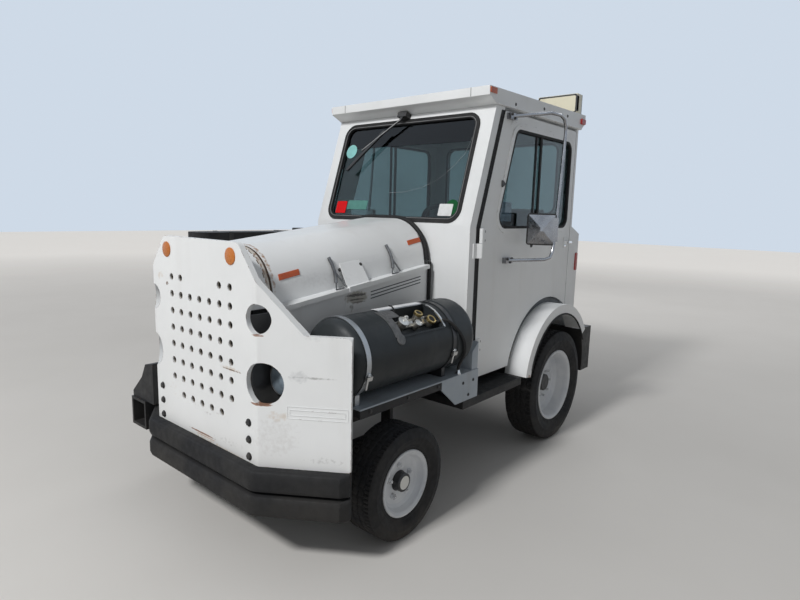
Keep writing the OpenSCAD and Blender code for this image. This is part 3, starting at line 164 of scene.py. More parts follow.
def surface(name, colour, shade, rough=(0.4, 0.6), patches=3, metal=0, coat=0, bump=0.1, grain=180,
            streaks=None, dust=None, chips=None, spots=None, marks=(), bands=(), zones=(), sockets=None):
    """A procedural material.

    colour varies to shade in patches; streaks = (colour, strength) run down the sides; dust = (colour,
    height) lies on the lowest parts; chips = (colour, radius, share) wears the edges; spots = (colour,
    share) are small marks; marks = rows of (x, y, z, radii, colour, share, cover) stain one place; bands =
    (y, z, rows) with rows of (inner, outer, colour) are rings about an axle; zones = rows of (low, high,
    colour) paint a box-shaped region; sockets are further values of the shader.
    """
    made = bpy.data.materials.new(name)
    made.use_nodes = True
    tree = made.node_tree
    shader = tree.nodes["Principled BSDF"]
    coords = object_coords(tree)
    large = noise(coords, patches, 4)
    fine = noise(coords, grain, 3)
    tone = blend(ramp(large, 0.35, 0.7), colour, shade)
    if streaks:
        run = noise(coords, 9, 5, (1, 1, 0.12))
        tone = blend(times(ramp(run, 0.56, 0.78), streaks[1]), tone, streaks[0])
    if spots:
        mark = noise(coords, 42, 6)
        tone = blend(ramp(mark, 0.76 - spots[1], 0.8 - spots[1]), tone, spots[0])
    if dust:
        near = ramp(axes(coords)[2], dust[1], 0)
        tone = blend(times(near, ramp(large, 0.2, 0.75)), tone, dust[0])
    if bands:
        away = axle_distance(coords, bands[0], bands[1])
        for inner, outer, ring in bands[2]:
            inside = times(ramp(away, inner - 0.001, inner), ramp(away, outer, outer - 0.001))
            tone = blend(inside, tone, ring)
    if marks:
        ragged = noise(coords, 60, 6)
        for *place, stain, share, most in marks:
            place = spot(coords, *place)
            cover = ramp(calc("ADD", ragged, times(place, share)), 0.66, 0.94)
            cover = times(cover, ramp(place, 0, 0.3))
            tone = blend(times(cover, most), tone, stain)
    for low, high, paint in zones:
        tone = blend(inside_box(coords, low, high), tone, paint)
    if chips:
        ragged = ramp(noise(coords, 26, 6), 0.62 - chips[2], 0.7 - chips[2])
        worn = ramp(times(edge_mask(tree, chips[1]), ragged), 0.05, 0.14)
        tone = blend(worn, tone, chips[0])
    tree.links.new(tone, shader.inputs["Base Color"])
    gloss = between(noise(coords, patches * 6, 4), 0.3, 0.7, *rough)
    tree.links.new(gloss, shader.inputs["Roughness"])
    for socket, value in {"Metallic": metal, "Coat Weight": coat, **(sockets or {})}.items():
        shader.inputs[socket].default_value = value
    if bump:
        lift = add(tree, "ShaderNodeBump", {"Height": fine, "Strength": bump, "Distance": 0.001})
        tree.links.new(lift.outputs[0], shader.inputs["Normal"])
    return made


def shine(value):
    return {"Specular IOR Level": value}


def clear(name, tint):
    """Tinted glass that lets what is behind it show."""
    return surface(name, tint, [c * 0.88 for c in tint], (0, 0.01), bump=0,
                   sockets={"Transmission Weight": 1, "IOR": 1.45})


def sticker(name, colour):
    return surface(name, colour, [c * 0.85 for c in colour], (0.6, 0.75), 30, spots=((0.5, 0.5, 0.48), -0.04),
                   sockets=shine(0.1))


def looks(*rows):
    """Materials by slot, from rows of (slot, colour, shade, roughness, patches, the rest)."""
    return {name: surface(name, *look, **rest) for name, *look, rest in rows}


def grey(value):
    return (value, value, value)


RUST, BROWN = (0.23, 0.085, 0.03), (0.12, 0.06, 0.03)
TAN, DARK = (0.55, 0.44, 0.33), (0.2, 0.19, 0.18)
WHITE_PAINT = dict(
    colour=(0.8, 0.81, 0.81), shade=(0.73, 0.74, 0.74), rough=(0.28, 0.5), patches=2.2, coat=0.15, bump=0.05,
    streaks=((0.52, 0.49, 0.45), 0.16), dust=((0.55, 0.5, 0.44), 0.55), chips=(BROWN, 0.004, 0.05),
    spots=((0.4, 0.37, 0.33), -0.02))
ORANGE_PLASTIC = ((0.5, 0.085, 0.008), (0.4, 0.06, 0.008), (0.25, 0.4), 12)
CREAM_PLASTIC = ((0.76, 0.72, 0.56), (0.68, 0.63, 0.47), (0.25, 0.45), 3)


def white(name, **changes):
    """The white paint, with what one part shows besides."""
    return surface(name, **{**WHITE_PAINT, **changes})


SLOTS = {
    "white_paint": white("white_paint"),
    **looks(
        ("black_paint", (0.018, 0.018, 0.019), (0.035, 0.034, 0.033), (0.4, 0.65), 5, dict(
            bump=0.15, streaks=((0.06, 0.053, 0.046), 0.3), dust=((0.06, 0.052, 0.044), 0.4),
            chips=((0.14, 0.07, 0.04), 0.004, 0.06), sockets=shine(0.22))),
        ("grey_paint", (0.38, 0.42, 0.46), (0.3, 0.34, 0.38), (0.4, 0.6), 4, dict(
            streaks=((0.22, 0.2, 0.18), 0.5), chips=((0.12, 0.1, 0.09), 0.004, 0.06))),
        ("grey_paint_dark", (0.09, 0.1, 0.105), (0.06, 0.065, 0.07), (0.5, 0.7), 6, dict(
            bump=0.2, dust=((0.36, 0.3, 0.24), 0.75))),
        ("tank_paint", (0.02, 0.023, 0.025), (0.031, 0.035, 0.037), (0.33, 0.5), 4, dict(
            bump=0.06, streaks=((0.07, 0.066, 0.062), 0.3), sockets=shine(0.22))),
        ("rim_paint", (0.72, 0.73, 0.73), (0.55, 0.56, 0.57), (0.35, 0.55), 7, dict(
            spots=((0.12, 0.09, 0.07), 0.04), chips=((0.1, 0.07, 0.05), 0.004, 0.1))),
        ("bright_steel", (0.62, 0.62, 0.61), grey(0.45), (0.22, 0.42), 9, dict(metal=1, bump=0.05)),
        ("black_steel", (0.03, 0.03, 0.031), (0.06, 0.055, 0.05), (0.35, 0.6), 12, dict(metal=0.4, bump=0.2)),
        ("radiator_metal", (0.02, 0.02, 0.019), (0.035, 0.033, 0.03), (0.6, 0.8), 14, dict(
            bump=0.4, grain=400)),
        ("engine_iron", grey(0.05), (0.08, 0.07, 0.055), (0.55, 0.8), 9, dict(bump=0.4, grain=90)),
        ("brass_fittings", (0.4, 0.35, 0.26), (0.2, 0.18, 0.15), (0.3, 0.5), 20, dict(metal=0.9)),
        ("black_rubber", (0.016, 0.016, 0.017), (0.028, 0.027, 0.026), (0.6, 0.85), 6, dict(
            bump=0.3, dust=((0.055, 0.048, 0.04), 0.35), spots=((0.06, 0.056, 0.05), 0),
            sockets=shine(0.22))),
        ("tyre", (0.016, 0.016, 0.017), (0.032, 0.03, 0.028), (0.65, 0.9), 7, dict(
            bump=0.4, grain=240, dust=((0.075, 0.065, 0.055), 0.14), sockets=shine(0.22))),
        ("black_vinyl", (0.025, 0.026, 0.028), (0.04, 0.04, 0.042), (0.35, 0.5), 9, dict(
            bump=0.4, grain=320)),
        ("black_plastic", (0.02, 0.02, 0.021), grey(0.035), (0.4, 0.6), 9, dict(bump=0.25, grain=420)),
        ("cream_plastic", *CREAM_PLASTIC, dict(coat=0.2, bump=0.05, streaks=((0.4, 0.34, 0.25), 0.25))),
        ("lamp_plastic", *ORANGE_PLASTIC, dict(coat=0.1, bump=0.06)),
    ),
    "window_glass": clear("window_glass", (0.3, 0.39, 0.39)),
}

# Rows of (x, y, z, radii along them, colour, share, cover)
PLATE_MARKS = (
    (0.225, 0, 0.789, 0.09, 0.2, 0.013, TAN, 0.4, 0.5),
    (0.23, 0, 0.786, 0.085, 0.2, 0.0035, BROWN, 0.5, 0.9),
    (-0.01, 0, 0.452, 0.13, 0.2, 0.005, RUST, 0.6, 0.9),
    (0.02, 0, 0.443, 0.1, 0.2, 0.003, (0.5, 0.28, 0.12), 0.6, 0.8),
    (0.405, 0, 0.682, 0.065, 0.2, 0.007, RUST, 0.55, 0.9),
    (0.47, 0.05, 0.64, 0.05, 0.2, 0.03, TAN, 0.35, 0.5),
    (0.4, 0, 0.955, 0.035, 0.2, 0.005, RUST, 0.55, 0.8),
    (-0.269, 0, 1.089, 0.016, 0.2, 0.012, BROWN, 0.4, 0.9),
    (-0.33, 0, 1.12, 0.05, 0.2, 0.025, TAN, 0.3, 0.5),
    (0.58, 0.12, 0.8, 0.11, 0.2, 0.006, DARK, 0.35, 0.6),
    (0.54, 0.1, 0.802, 0.05, 0.2, 0.03, (0.5, 0.51, 0.52), 0.4, 0.5),
    (0.6, 0.13, 0.965, 0.08, 0.2, 0.03, grey(0.6), 0.3, 0.5),
    (0.62, 0.15, 0.47, 0.1, 0.2, 0.018, DARK, 0.2, 0.55),
    (0.2, 0, 0.47, 0.15, 0.1, 0.022, DARK, 0.16, 0.5),
    (0.1, 0, 0.425, 0.34, 0.1, 0.02, TAN, 0.3, 0.6),
    (0.45, 0.06, 0.55, 0.12, 0.2, 0.12, (0.62, 0.61, 0.6), 0.3, 0.5),
    (-0.2, 0, 0.6, 0.14, 0.1, 0.05, TAN, 0.12, 0.4),
    (0.05, 0, 0.56, 0.2, 0.1, 0.03, BROWN, 0.1, 0.6),
)
CASING_DIRT_AND_SHADOW = (
    (CASING_X, 0.605, 1.035, 0.1, 0.09, 0.035, (0.24, 0.2, 0.13), 0.75, 0.6),
    (CASING_X, 0.6, 1.046, 0.1, 0.085, 0.009, (0.03, 0.025, 0.02), 0.6, 0.85),
    (CASING_X, 0.6, 1.026, 0.1, 0.07, 0.005, (0.03, 0.025, 0.02), 0.6, 0.7),
    (CASING_X, 0.62, 1.012, 0.1, 0.06, 0.004, (0.05, 0.04, 0.03), 0.5, 0.6),
    (CASING_X, 0.57, 0.99, 0.1, 0.02, 0.03, (0.1, 0.085, 0.06), 0.3, 0.6),
    # painted shadow: near-black over the casing's front end, where the plate's wing shades it
    (CASING_X, 0.05, 0.8, 0.3, 0.17, 0.5, (0.03, 0.03, 0.032), 3, 1),
)
HOOD_MARKS = (
    (0.1, 0.174, 1.2, 0.4, 0.012, 0.3, (0.3, 0.14, 0.05), 0.3, 0.9),
    (0.3, 0.4, 1.13, 0.1, 0.3, 0.05, grey(0.66), 0.25, 0.5),
)
NOSE_MARKS = ((0.2, 0.143, 1.2, 0.4, 0.007, 0.3, (0.2, 0.09, 0.03), 0.4, 0.9),)
FENDER_MARKS = [
    (side * 0.69, *row) for row in (
        (1.69, 0.47, 0.1, 0.05, 0.05, RUST, 0.4, 0.9), (1.66, 0.75, 0.03, 0.12, 0.12, TAN, 0.2, 0.5))
    for side in (1, -1)]
# Painted shade on the inner walls of the plate's holes: brown at the mouth, black behind
HOLE_SHADE_ZONES = (((-0.28, 0.005, 0.56), (0.28, 0.0235, 1.15), (0.3, 0.27, 0.23)),
              ((-0.28, 0.011, 0.56), (0.28, 0.0235, 1.15), (0.035, 0.03, 0.026)))
NODE_LOOKS = {
    "front_plate": white("plate_paint", marks=PLATE_MARKS, chips=(BROWN, 0.004, 0.11), zones=HOLE_SHADE_ZONES),
    "engine_casing": white("casing_paint", marks=CASING_DIRT_AND_SHADOW, streaks=((0.45, 0.42, 0.38), 0.25)),
    "hood": white("hood_paint", marks=HOOD_MARKS),
    "nose_shell": white("nose_paint", marks=NOSE_MARKS),
    "hood_latches": surface("latch_metal", (0.1, 0.1, 0.105), grey(0.22), (0.3, 0.5), 30,
                            metal=0.7, bump=0.2),
    "tank_fittings": surface("cast_fittings", (0.5, 0.48, 0.43), (0.1, 0.09, 0.075), (0.3, 0.5), 26,
                             metal=0.8, bump=0.2),
    # below the roof these are the headlamps' shells
    "lamps": surface("marker_and_shell", *ORANGE_PLASTIC, coat=0.1, bump=0.06,
                     zones=(((-1, -1, 0), (1, 4, 1.2), (0.04, 0.042, 0.045)),)),
    "roof_lamp": surface("roof_lamp_shell", *CREAM_PLASTIC, coat=0.2, bump=0.05,
                         streaks=((0.4, 0.34, 0.25), 0.3), zones=(((0, 2.41, 2), (1, 3, 3), grey(0.02)),)),
    "rear_fenders": white("fender_paint", marks=FENDER_MARKS, chips=((0.2, 0.16, 0.13), 0.004, 0.08)),
    # the rear strap is dark
    "tank_straps": surface("strap_steel", (0.46, 0.47, 0.48), (0.33, 0.34, 0.35), (0.3, 0.5), 9, metal=0.9,
                           bump=0.05, zones=(((0, 0.87, 0), (1, 0.96, 2), (0.07, 0.07, 0.072)),)),
}
NODE_LOOKS["mirror_left"] = NODE_LOOKS["mirror_right"] = surface(
    "mirror_shell", (0.36, 0.36, 0.37), (0.24, 0.24, 0.25), (0.16, 0.34), 9, metal=1, bump=0.05)
for end, y, r, rings in (
        ("front", FRONT_AXLE_Y, FRONT_TYRE_R, ((0, 0.031, (0.75, 0.74, 0.7)), (0.031, 0.047, grey(0.02)))),
        ("rear", REAR_AXLE_Y, REAR_TYRE_R, ((0, 0.058, grey(0.02)),))):
    NODE_LOOKS[end + "_rim_left"] = NODE_LOOKS[end + "_rim_right"] = surface(
        end + "_rim_paint", (0.72, 0.73, 0.74), (0.55, 0.57, 0.6), (0.35, 0.55), 7,
        spots=((0.1, 0.08, 0.07), 0.05), chips=((0.08, 0.06, 0.05), 0.004, 0.12), bands=(y, r, rings))

LENS = dict(coat=0.1, bump=0.3, grain=500)
AMBER = surface("amber", (0.5, 0.15, 0.015), (0.4, 0.11, 0.012), (0.2, 0.35), 10, **LENS)
CHROME = surface("chrome", (0.85, 0.86, 0.87), (0.7, 0.71, 0.72), (0.06, 0.16), 8, metal=1, bump=0.02)
RED_LENS = surface("red_lens", (0.4, 0.012, 0.01), (0.3, 0.01, 0.008), (0.2, 0.35), 10, **LENS)
CLEAR_LENS = surface("clear_lens", (0.3, 0.37, 0.43), (0.14, 0.18, 0.22), (0.08, 0.15), 22, metal=0.5,
                     coat=0.6, bump=0.02)
MIRROR = surface("mirror_glass", (0.9, 0.92, 0.93), (0.85, 0.87, 0.88), (0.02, 0.05), 4, metal=1, bump=0)


# Places

def at(x, y, z):
    """Point of the model."""
    return Vector((x, y - MID_Y, z))


def facing(origin, normal, up=UP):
    """Frame at a point with Z along the normal and Y as near up as it can be."""
    z = Vector(normal).normalized()
    x = Vector(up).cross(z).normalized()
    return Matrix.Translation(origin) @ Matrix((x, z.cross(x), z)).transposed().to_4x4()


def on_front(x, y, z):
    return facing(at(x, y, z), (0, -1, 0))


def on_back(x, y, z):
    return facing(at(x, y, z), BACK)


def on_side(side, x, y, z):
    return facing(at(side * x, y, z), (side, 0, 0))


def on_top(x, y, z):
    return facing(at(x, y, z), UP, BACK)


def on_wing(s, z):
    """Frame on the front plate's left wing, s out from its bend."""
    along = Vector((cos(WING_ANGLE), sin(WING_ANGLE), 0))
    return facing(at(FACE_HW, 0, z) + s * along, (sin(WING_ANGLE), -cos(WING_ANGLE), 0))


def side_plane(side, x=0, y=0, z=0):
    """Frame whose X runs back along the tractor, Y up, and Z out of its side."""
    return Matrix.Translation(at(side * x, y, z)) @ Matrix(((0, 0, side), (1, 0, 0), (0, 1, 0))).to_4x4()


def on_skin(angle, y, out=0):
    """Frame on the gas tank's skin, an angle in degrees from its top towards the outside."""
    a = radians(angle)
    ray = Vector((sin(a), 0, cos(a)))
    return facing(at(TANK_X, y, TANK_Z) + (TANK_R + out) * ray, ray, BACK)


def skin_path(rows):
    return [on_skin(*row).translation for row in rows]


@cache
def skin(node):
    mesh = NODES[node].data
    return BVHTree.FromPolygons([v.co for v in mesh.vertices], [p.vertices for p in mesh.polygons])


def land(node, point, direction):
    """Where a ray from a point meets a CAD node's skin, and the skin's normal there."""
    hit, normal, _, _ = skin(node).ray_cast(Vector(point), Vector(direction).normalized())
    if hit is None:
        raise ValueError(f"nothing of {node} there")
    return hit, normal if normal.dot(Vector(direction)) < 0 else -normal


# Outlines

def rounded(rows, n=6):
    """Outline through rows of (x, y, corner radius)."""
    points = []
    for i, (x, y, r) in enumerate(rows):
        here = Vector((x, y))
        u = (Vector(rows[i - 1][:2]) - here).normalized()
        v = (Vector(rows[(i + 1) % len(rows)][:2]) - here).normalized()
        half = u.angle(v) / 2
        centre = here + (u + v).normalized() * r / sin(half)
        start, end = here + u * r / tan(half) - centre, here + v * r / tan(half) - centre
        points += [tuple(centre + r * (start * (n - k) + end * k).normalized()) for k in range(n + 1)]
    return points


def rect(x0, y0, x1, y1):
    return [(x0, y0), (x1, y0), (x1, y1), (x0, y1)]


def oblong(w, h, r, x=0, y=0, n=5):
    """Rectangle about (x, y) with rounded corners."""
    return [(x + a, y + b) for a, b in rounded([(*p, r) for p in rect(-w / 2, -h / 2, w / 2, h / 2)], n)]


def fine_path(points, n):
    """Smooth curve through points."""
    out = []
    for i in range(len(points) - 1):
        a, b, c, d = (points[min(max(k, 0), len(points) - 1)] for k in (i - 1, i, i + 1, i + 2))
        for t in (k / n for k in range(n)):
            out.append(0.5 * (2 * b + (c - a) * t + (2 * a - 5 * b + 4 * c - d) * t * t
                              + (3 * b - a - 3 * c + d) * t ** 3))
    return out + [points[-1]]


# Building shapes

def linked(name, data):
    obj = bpy.data.objects.new(name, data)
    SCENE.collection.objects.link(obj)
    return obj


HERE = Matrix.Identity(4)


class Shape:
    """A mesh in the making; every call adds one closed form to it."""

    def __init__(self):
        self.points = []
        self.faces = []

    def add(self, points, faces, place=HERE):
        first = len(self.points)
        self.points += [place @ Vector(p) for p in points]
        self.faces += [[first + i for i in face] for face in faces]
        return self

    def rings(self, rings, place=HERE, closed=False):
        """Skin through rings of points with equal numbers."""
        n, count = len(rings[0]), len(rings)
        faces = []
        for i in range(count if closed else count - 1):
            shift = ((i + 1) % count - i) * n
            for k in range(n):
                a, b = i * n + k, i * n + (k + 1) % n
                faces.append([a, b, b + shift, a + shift])
        if not closed:
            faces += [range(n - 1, -1, -1), range((count - 1) * n, count * n)]
        return self.add([p for ring in rings for p in ring], faces, place)

    def skins(self, front, rear, row, place=HERE):
        """Closed form between two grids of points, each in rows of the same length."""
        count = len(front)
        faces = []
        for a in range(count - row):
            if (a + 1) % row:
                b = count + a
                faces += [[a, a + row, a + row + 1, a + 1], [b, b + 1, b + row + 1, b + row]]
        rim = [*range(0, count, row), *range(count - row + 1, count),
               *range(count - row - 1, row - 2, -row), *range(row - 2, 0, -1)]
        faces += [[a, count + a, count + b, b] for a, b in zip(rim, rim[1:] + rim[:1])]
        return self.add(front + rear, faces, place)

    def turned(self, profile, place, n=32):
        """Profile of (radius, height) turned about the frame's Z."""
        rings = [[(max(r, 1e-5) * cos(a), max(r, 1e-5) * sin(a), h)
                  for a in (2 * pi * k / n for k in range(n))] for r, h in profile]
        return self.rings(rings, place)

    def slab(self, outline, low, high, place, taper=0):
        """Outline of (x, y) from height low to high, drawn in by taper at its top."""
        cx = sum(p[0] for p in outline) / len(outline)
        cy = sum(p[1] for p in outline) / len(outline)
        k = 1 - taper / max(max(abs(p[0] - cx), abs(p[1] - cy)) for p in outline)
        rings = [[(*p, h) for p in outline] for h in ((low, high - taper) if taper else (low,))]
        return self.rings(rings + [[(cx + (x - cx) * k, cy + (y - cy) * k, high) for x, y in outline]], place)

    def frame(self, outer, inner, low, high, place):
        """Flat ring between two outlines with equal numbers of points."""
        edges = ((outer, low), (outer, high), (inner, high), (inner, low))
        return self.rings([[(*p, h) for p in outline] for outline, h in edges], place, closed=True)

    def tube(self, path, radius, n=12):
        """Round bar through points of the model."""
        last = len(path) - 1
        rings = []
        side = None
        for i, point in enumerate(path):
            along = (path[min(i + 1, last)] - path[max(i - 1, 0)]).normalized()
            if side is None:
                side = along.cross(Vector((0.13, 0.21, 1))).normalized()
            side = (side - along * side.dot(along)).normalized()
            other = along.cross(side)
            rings.append([point + radius * (cos(a) * side + sin(a) * other)
                          for a in (2 * pi * k / n for k in range(n))])
        return self.rings(rings)

    def bolts(self, r, h, places, washer=1.4):
        """Hexagon heads with washers and domed tops."""
        for place in places:
            self.turned([(0, -0.001), (r * washer, -0.001), (r * washer, h * 0.22), (0, h * 0.24)], place, 24)
            self.turned([(0, 0), (r, 0), (r, h * 0.85), (r * 0.8, h), (0, h)], place, 6)
        return self

    def rivets(self, r, h, places):
        profile = ((0, -0.001), (r, -0.001), (r, 0), (r * 0.86, h * 0.55), (r * 0.5, h * 0.9), (0, h))
        for place in places:
            self.turned(profile, place, 16)
        return self

    def piece(self, name, slot, body="chassis", look=None, bevel=0, smooth=40):
        """The finished object, riding on its body."""
        mesh = bpy.data.meshes.new(name)
        mesh.from_pydata([tuple(p) for p in self.points], [], self.faces)
        # mirrored frames turn a form inside out, so every face is set to look outwards
        form = bmesh.new()
        form.from_mesh(mesh)
        bmesh.ops.recalc_face_normals(form, faces=form.faces)
        form.to_mesh(mesh)
        form.free()
        mesh.shade_smooth()
        obj = linked(name, mesh)
        mesh.materials.append(look or SLOTS[slot])
        soften(obj, bevel, smooth)
        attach(obj, body)
        return obj


@cache
def smooth_group(angle):
    """Geometry nodes that shade a mesh smooth except across sharp edges."""
    group = bpy.data.node_groups.new(f"smooth_{angle}", "GeometryNodeTree")
    for way in ("INPUT", "OUTPUT"):
        group.interface.new_socket("Geometry", in_out=way, socket_type="NodeSocketGeometry")
    start = add(group, "NodeGroupInput").outputs[0]
    bare = add(group, "GeometryNodeRemoveAttribute", {"Geometry": start, "Name": "custom_normal"}).outputs[0]
    faces = add(group, "GeometryNodeSetShadeSmooth", {"Geometry": bare}).outputs[0]
    turn = add(group, "GeometryNodeInputMeshEdgeAngle").outputs["Unsigned Angle"]
    flat = add(group, "FunctionNodeCompare", {0: turn, 1: radians(angle)}, operation="LESS_EQUAL").outputs[0]
    edges = add(group, "GeometryNodeSetShadeSmooth", {"Geometry": faces, "Shade Smooth": flat}, domain="EDGE")
    add(group, "NodeGroupOutput", {0: edges.outputs[0]})
    return group


def modify(obj, name, kind, **settings):
    modifier = obj.modifiers.new(name, kind)
    for key, value in settings.items():
        setattr(modifier, key, value)


def soften(obj, bevel, smooth):
    """Rounded edges and smooth shading by modifiers."""
    if bevel:
        modify(obj, "bevel", "BEVEL", width=bevel, segments=2, limit_method="ANGLE", angle_limit=radians(35))
    modify(obj, "smooth", "NODES", node_group=smooth_group(smooth))
    if bevel:
        modify(obj, "weigh", "WEIGHTED_NORMAL", keep_sharp=True)


# Nodes that keep the edges of their CAD form
PLAIN = ("window_seals", "tank_fittings", "steering_wheel", "wiper", "engine", "radiator")
# Nodes whose flat faces have other forms standing on them, which dissolving would tear
HOLED = ("cab_roof",)


def dress_nodes():
    """Every CAD node takes its material, and most take softly rounded edges."""
    for row in frame["record"]["subparts"]:
        name = row["node"]
        obj = NODES[name]
        obj.data.materials.clear()
        obj.data.materials.append(NODE_LOOKS.get(name, SLOTS[row["material_slot"]]))
        if name in PLAIN or any(word in name for word in ("tyre", "rim", "glass")):
            continue
        modify(obj, "weld", "WELD", merge_threshold=0.0001)
        if name not in HOLED:
            modify(obj, "flat", "DECIMATE", decimate_type="DISSOLVE", angle_limit=radians(0.4))
        soften(obj, 0.002, 32)


# Tyres

def tyre(end, tag, side, y, r, lip, w, out, pitch):
    """Tyre with ribbed sidewalls and a worn tread of zigzag grooves and shoulder slots."""
    wall = r - lip
    # shares of the width, but for the step round the tyre and the depths
    edge, groove_places, groove_half, slots_from = 0.42, (-0.27, -0.09, 0.09, 0.27), 0.018, 0.31
    step, deep, shallow = 0.0065, 0.006, 0.003
    half = [(lip - 0.014, 0.375), (lip + 0.002, 0.385), (lip + 0.008, 0.41), (lip + 0.014, 0.425),
            (lip + 0.018, 0.42), (lip + 0.022, 0.43), *((lip + up * wall, across) for up, across in (
                (0.28, 0.455), (0.42, 0.483), (0.52, 0.49), (0.54, 0.498), (0.58, 0.498), (0.6, 0.49),
                (0.74, 0.482), (0.88, 0.462))), (r - 0.008, 0.445), (r - 0.003, 0.43)]
    crown = [edge - 2 * edge * i / 34 for i in range(35)]
    section = [(a, b, False) for a, b in half] + [(r - 0.003 * (2 * b) ** 4, b, True) for b in crown] \
        + [(a, -b, False) for a, b in reversed(half)]
    count = int(2 * pi * r / step / pitch) * pitch
    mid = side * (out - w * edge)
    rings = []
    for i in range(count):
        turn = 2 * pi * i / count
        along = i % pitch / pitch
        zigzag = 0.022 * (abs(2 * along - 1) * 2 - 1)
        ring = []
        for radius, across, worn in section:
            if worn:
                groove = any(abs(across - c - zigzag) < groove_half for c in groove_places)
                slot = abs(across) > slots_from and (along + 0.5 * (across > 0)) % 0.5 < 0.14
                sipe = abs(across) < 0.24 and abs(along - 0.5) < 0.04
                radius -= deep * (groove or slot) + shallow * sipe
            ring.append((mid + across * w, radius * cos(turn), radius * sin(turn)))
        rings.append(ring)
    shape = Shape().rings(rings, Matrix.Translation(at(0, y, r)), closed=True)
    obj = shape.piece(f"{end}_tread_{tag}", "tyre", f"{end}_wheel_{tag}", smooth=35)
    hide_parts(f"{end}_tyre_{tag}")


def make_tyres():
    for tag, side in SIDES:
        tyre("front", tag, side, FRONT_AXLE_Y, FRONT_TYRE_R, 0.151, 0.18, 0.7, 6)
        tyre("rear", tag, side, REAR_AXLE_Y, REAR_TYRE_R, 0.226, 0.196, 0.661, 8)


# Front

def make_front():
    lenses = Shape()
    for x, z in ((-0.262, 1.243), (0.238, 1.246)):
        lenses.turned([(0, -0.001), (0.034, -0.001), (0.034, 0.003), (0.031, 0.0045), (0, 0.005)],
                      on_front(x, 0, z), 48)
    lenses.piece("plate_reflectors", "lamp_plastic", look=AMBER)
    places = [on_front(x, 0, 0.595 - 0.0706 * i) for x in (-0.344, 0.344) for i in range(3)]
    Shape().bolts(0.013, 0.009, places, 1.25).piece("plate_bolts", "black_steel", bevel=0.0006)
    lines = Shape()
    for w, h in ((0.242, 0.052), (0.222, 0.024)):
        inner = oblong(w - 0.006, h - 0.006, 0.003)
        lines.frame(oblong(w, h, 0.004), inner, -0.001, 0.0016, on_wing(0.241, 0.659))
    lines.piece("wing_frame", "white_paint", look=white("worn_line", streaks=((0.35, 0.34, 0.33), 0.9)),
                bevel=0.0005)
    # round flat-headed bolts in the groove between the bumper's strips
    Shape().rivets(0.0042, 0.003, [on_front(x, -0.002, 0.331) for x in (-0.3, -0.1, 0.1, 0.3)]).piece(
        "bumper_bolts", "black_steel")
    screws = ((0.085, 1.16), (0.093, 1.145))
    places = [facing(*land("nose_shell", at(0.6, y, z), (-1, 0, 0))) for y, z in screws]
    Shape().bolts(0.0045, 0.003, places).piece("nose_screws", "black_steel")


def hood_arch(y, centre_z, lift, n=40):
    """Points round the hood's arched section at y, moved off its skin."""
    angles = (radians(2 + 176 * i / n) for i in range(n + 1))
    rays = [Vector((cos(a), 0, sin(a))) for a in angles]
    return [land("hood", at(0, y, centre_z) + ray, -ray)[0] + ray * lift for ray in rays]


def reflector(tag, side, y0, y1, z0, z1, slope=0.16, n=8):
    """Thin pad that follows the hood's skin and rises by the slope."""
    inwards = Vector((-side, 0, -0.25))
    grid = []
    for y in (y0 + (y1 - y0) * i / n for i in range(n + 1)):
        for z in (z0 + (z1 - z0) * k / n for k in range(n + 1)):
            grid.append(land("hood", at(side * 0.29, y, z + slope * (y - y0)) - inwards * 0.2, inwards))
    mean = sum((normal for _, normal in grid), Vector()).normalized()
    outer, inner = ([hit + mean * lift for hit, _ in grid] for lift in (0.003, -0.001))
    Shape().skins(outer, inner, n + 1).piece(f"hood_reflector_{tag}", "lamp_plastic", "hood", bevel=0.0008)


def make_hood():
    back = Vector((0, -0.034, 0))
    outer, inner = (hood_arch(0.168, 1.06, lift) for lift in (-0.004, -0.012))
    Shape().rings([[o + back, o, i, i + back] for o, i in zip(outer, inner)]).piece(
        "hood_front_seal", "black_rubber", look=surface(
            "rusty_ledge_and_gap_shadow", (0.66, 0.65, 0.62), (0.5, 0.44, 0.36), (0.6, 0.9), 14, bump=0.3,
            marks=((0.1, 0.15, 1.25, 0.4, 0.06, 0.3, (0.25, 0.11, 0.04), 0.2, 0.9),),
            # the near-black strip along the rear edge is painted shadow of the gap under the hood's lip; a
            # darker brown strip runs along the front edge
            zones=(((-0.5, 0.1545, 0.5), (0.5, 0.2, 1.5), (0.05, 0.028, 0.016)),
                   ((-0.5, 0.13, 0.5), (0.5, 0.1385, 1.5), (0.12, 0.08, 0.05)))))
    seal = Shape().tube([p + Vector((0, 0.024, 0)) for p in hood_arch(1.12, 1.17, 0.006)], 0.012, 10)
    for side in (1, -1):
        seal.tube([at(side * 0.342, 1.144, z) for z in (0.72, 0.9, 1.05, 1.14, 1.175)], 0.01, 10)
    seal.piece("hood_rear_seal", "black_rubber")
    for end, *place in (("front", 0.203, 0.31, 1.141, 1.168), ("rear", 1.023, 1.123, 1.262, 1.288)):
        for tag, side in SIDES:
            reflector(f"{end}_{tag}", side, *place)
    Shape().bolts(0.006, 0.005, [facing(*land("hood", at(0.6, y, z), (-1, 0, -0.1))) for y, z in (
        (0.533, 1.195), (0.661, 1.215))]).piece("hood_bracket_bolts", "black_steel", "hood")
    # shallow service panel below the bracket, and plain pinstripes behind it
    Shape().slab([(0, 0), (0.142, 0.01), (0.142, 0.082), (0, 0.07)], -0.0005, 0.0022,
                 side_plane(1, CASING_X, 0.533, 0.972)).piece(
        "casing_panel", "white_paint", look=NODE_LOOKS["engine_casing"], bevel=0.0006)
    stripes = Shape()
    length = 0.38
    rise = length * (1.152 - 1.032) / (1.125 - 0.165)
    for i in range(3):
        stripes.slab([(0, 0), (length, rise), (length, rise + 0.005), (0, 0.005)], -0.0005, 0.0007,
                     side_plane(1, CASING_X, 0.7, 1.05 - 0.016 * i))
    stripes.piece("casing_stripes", "grey_paint_dark", look=sticker("stripe_film", (0.1, 0.11, 0.12)))


# Cab

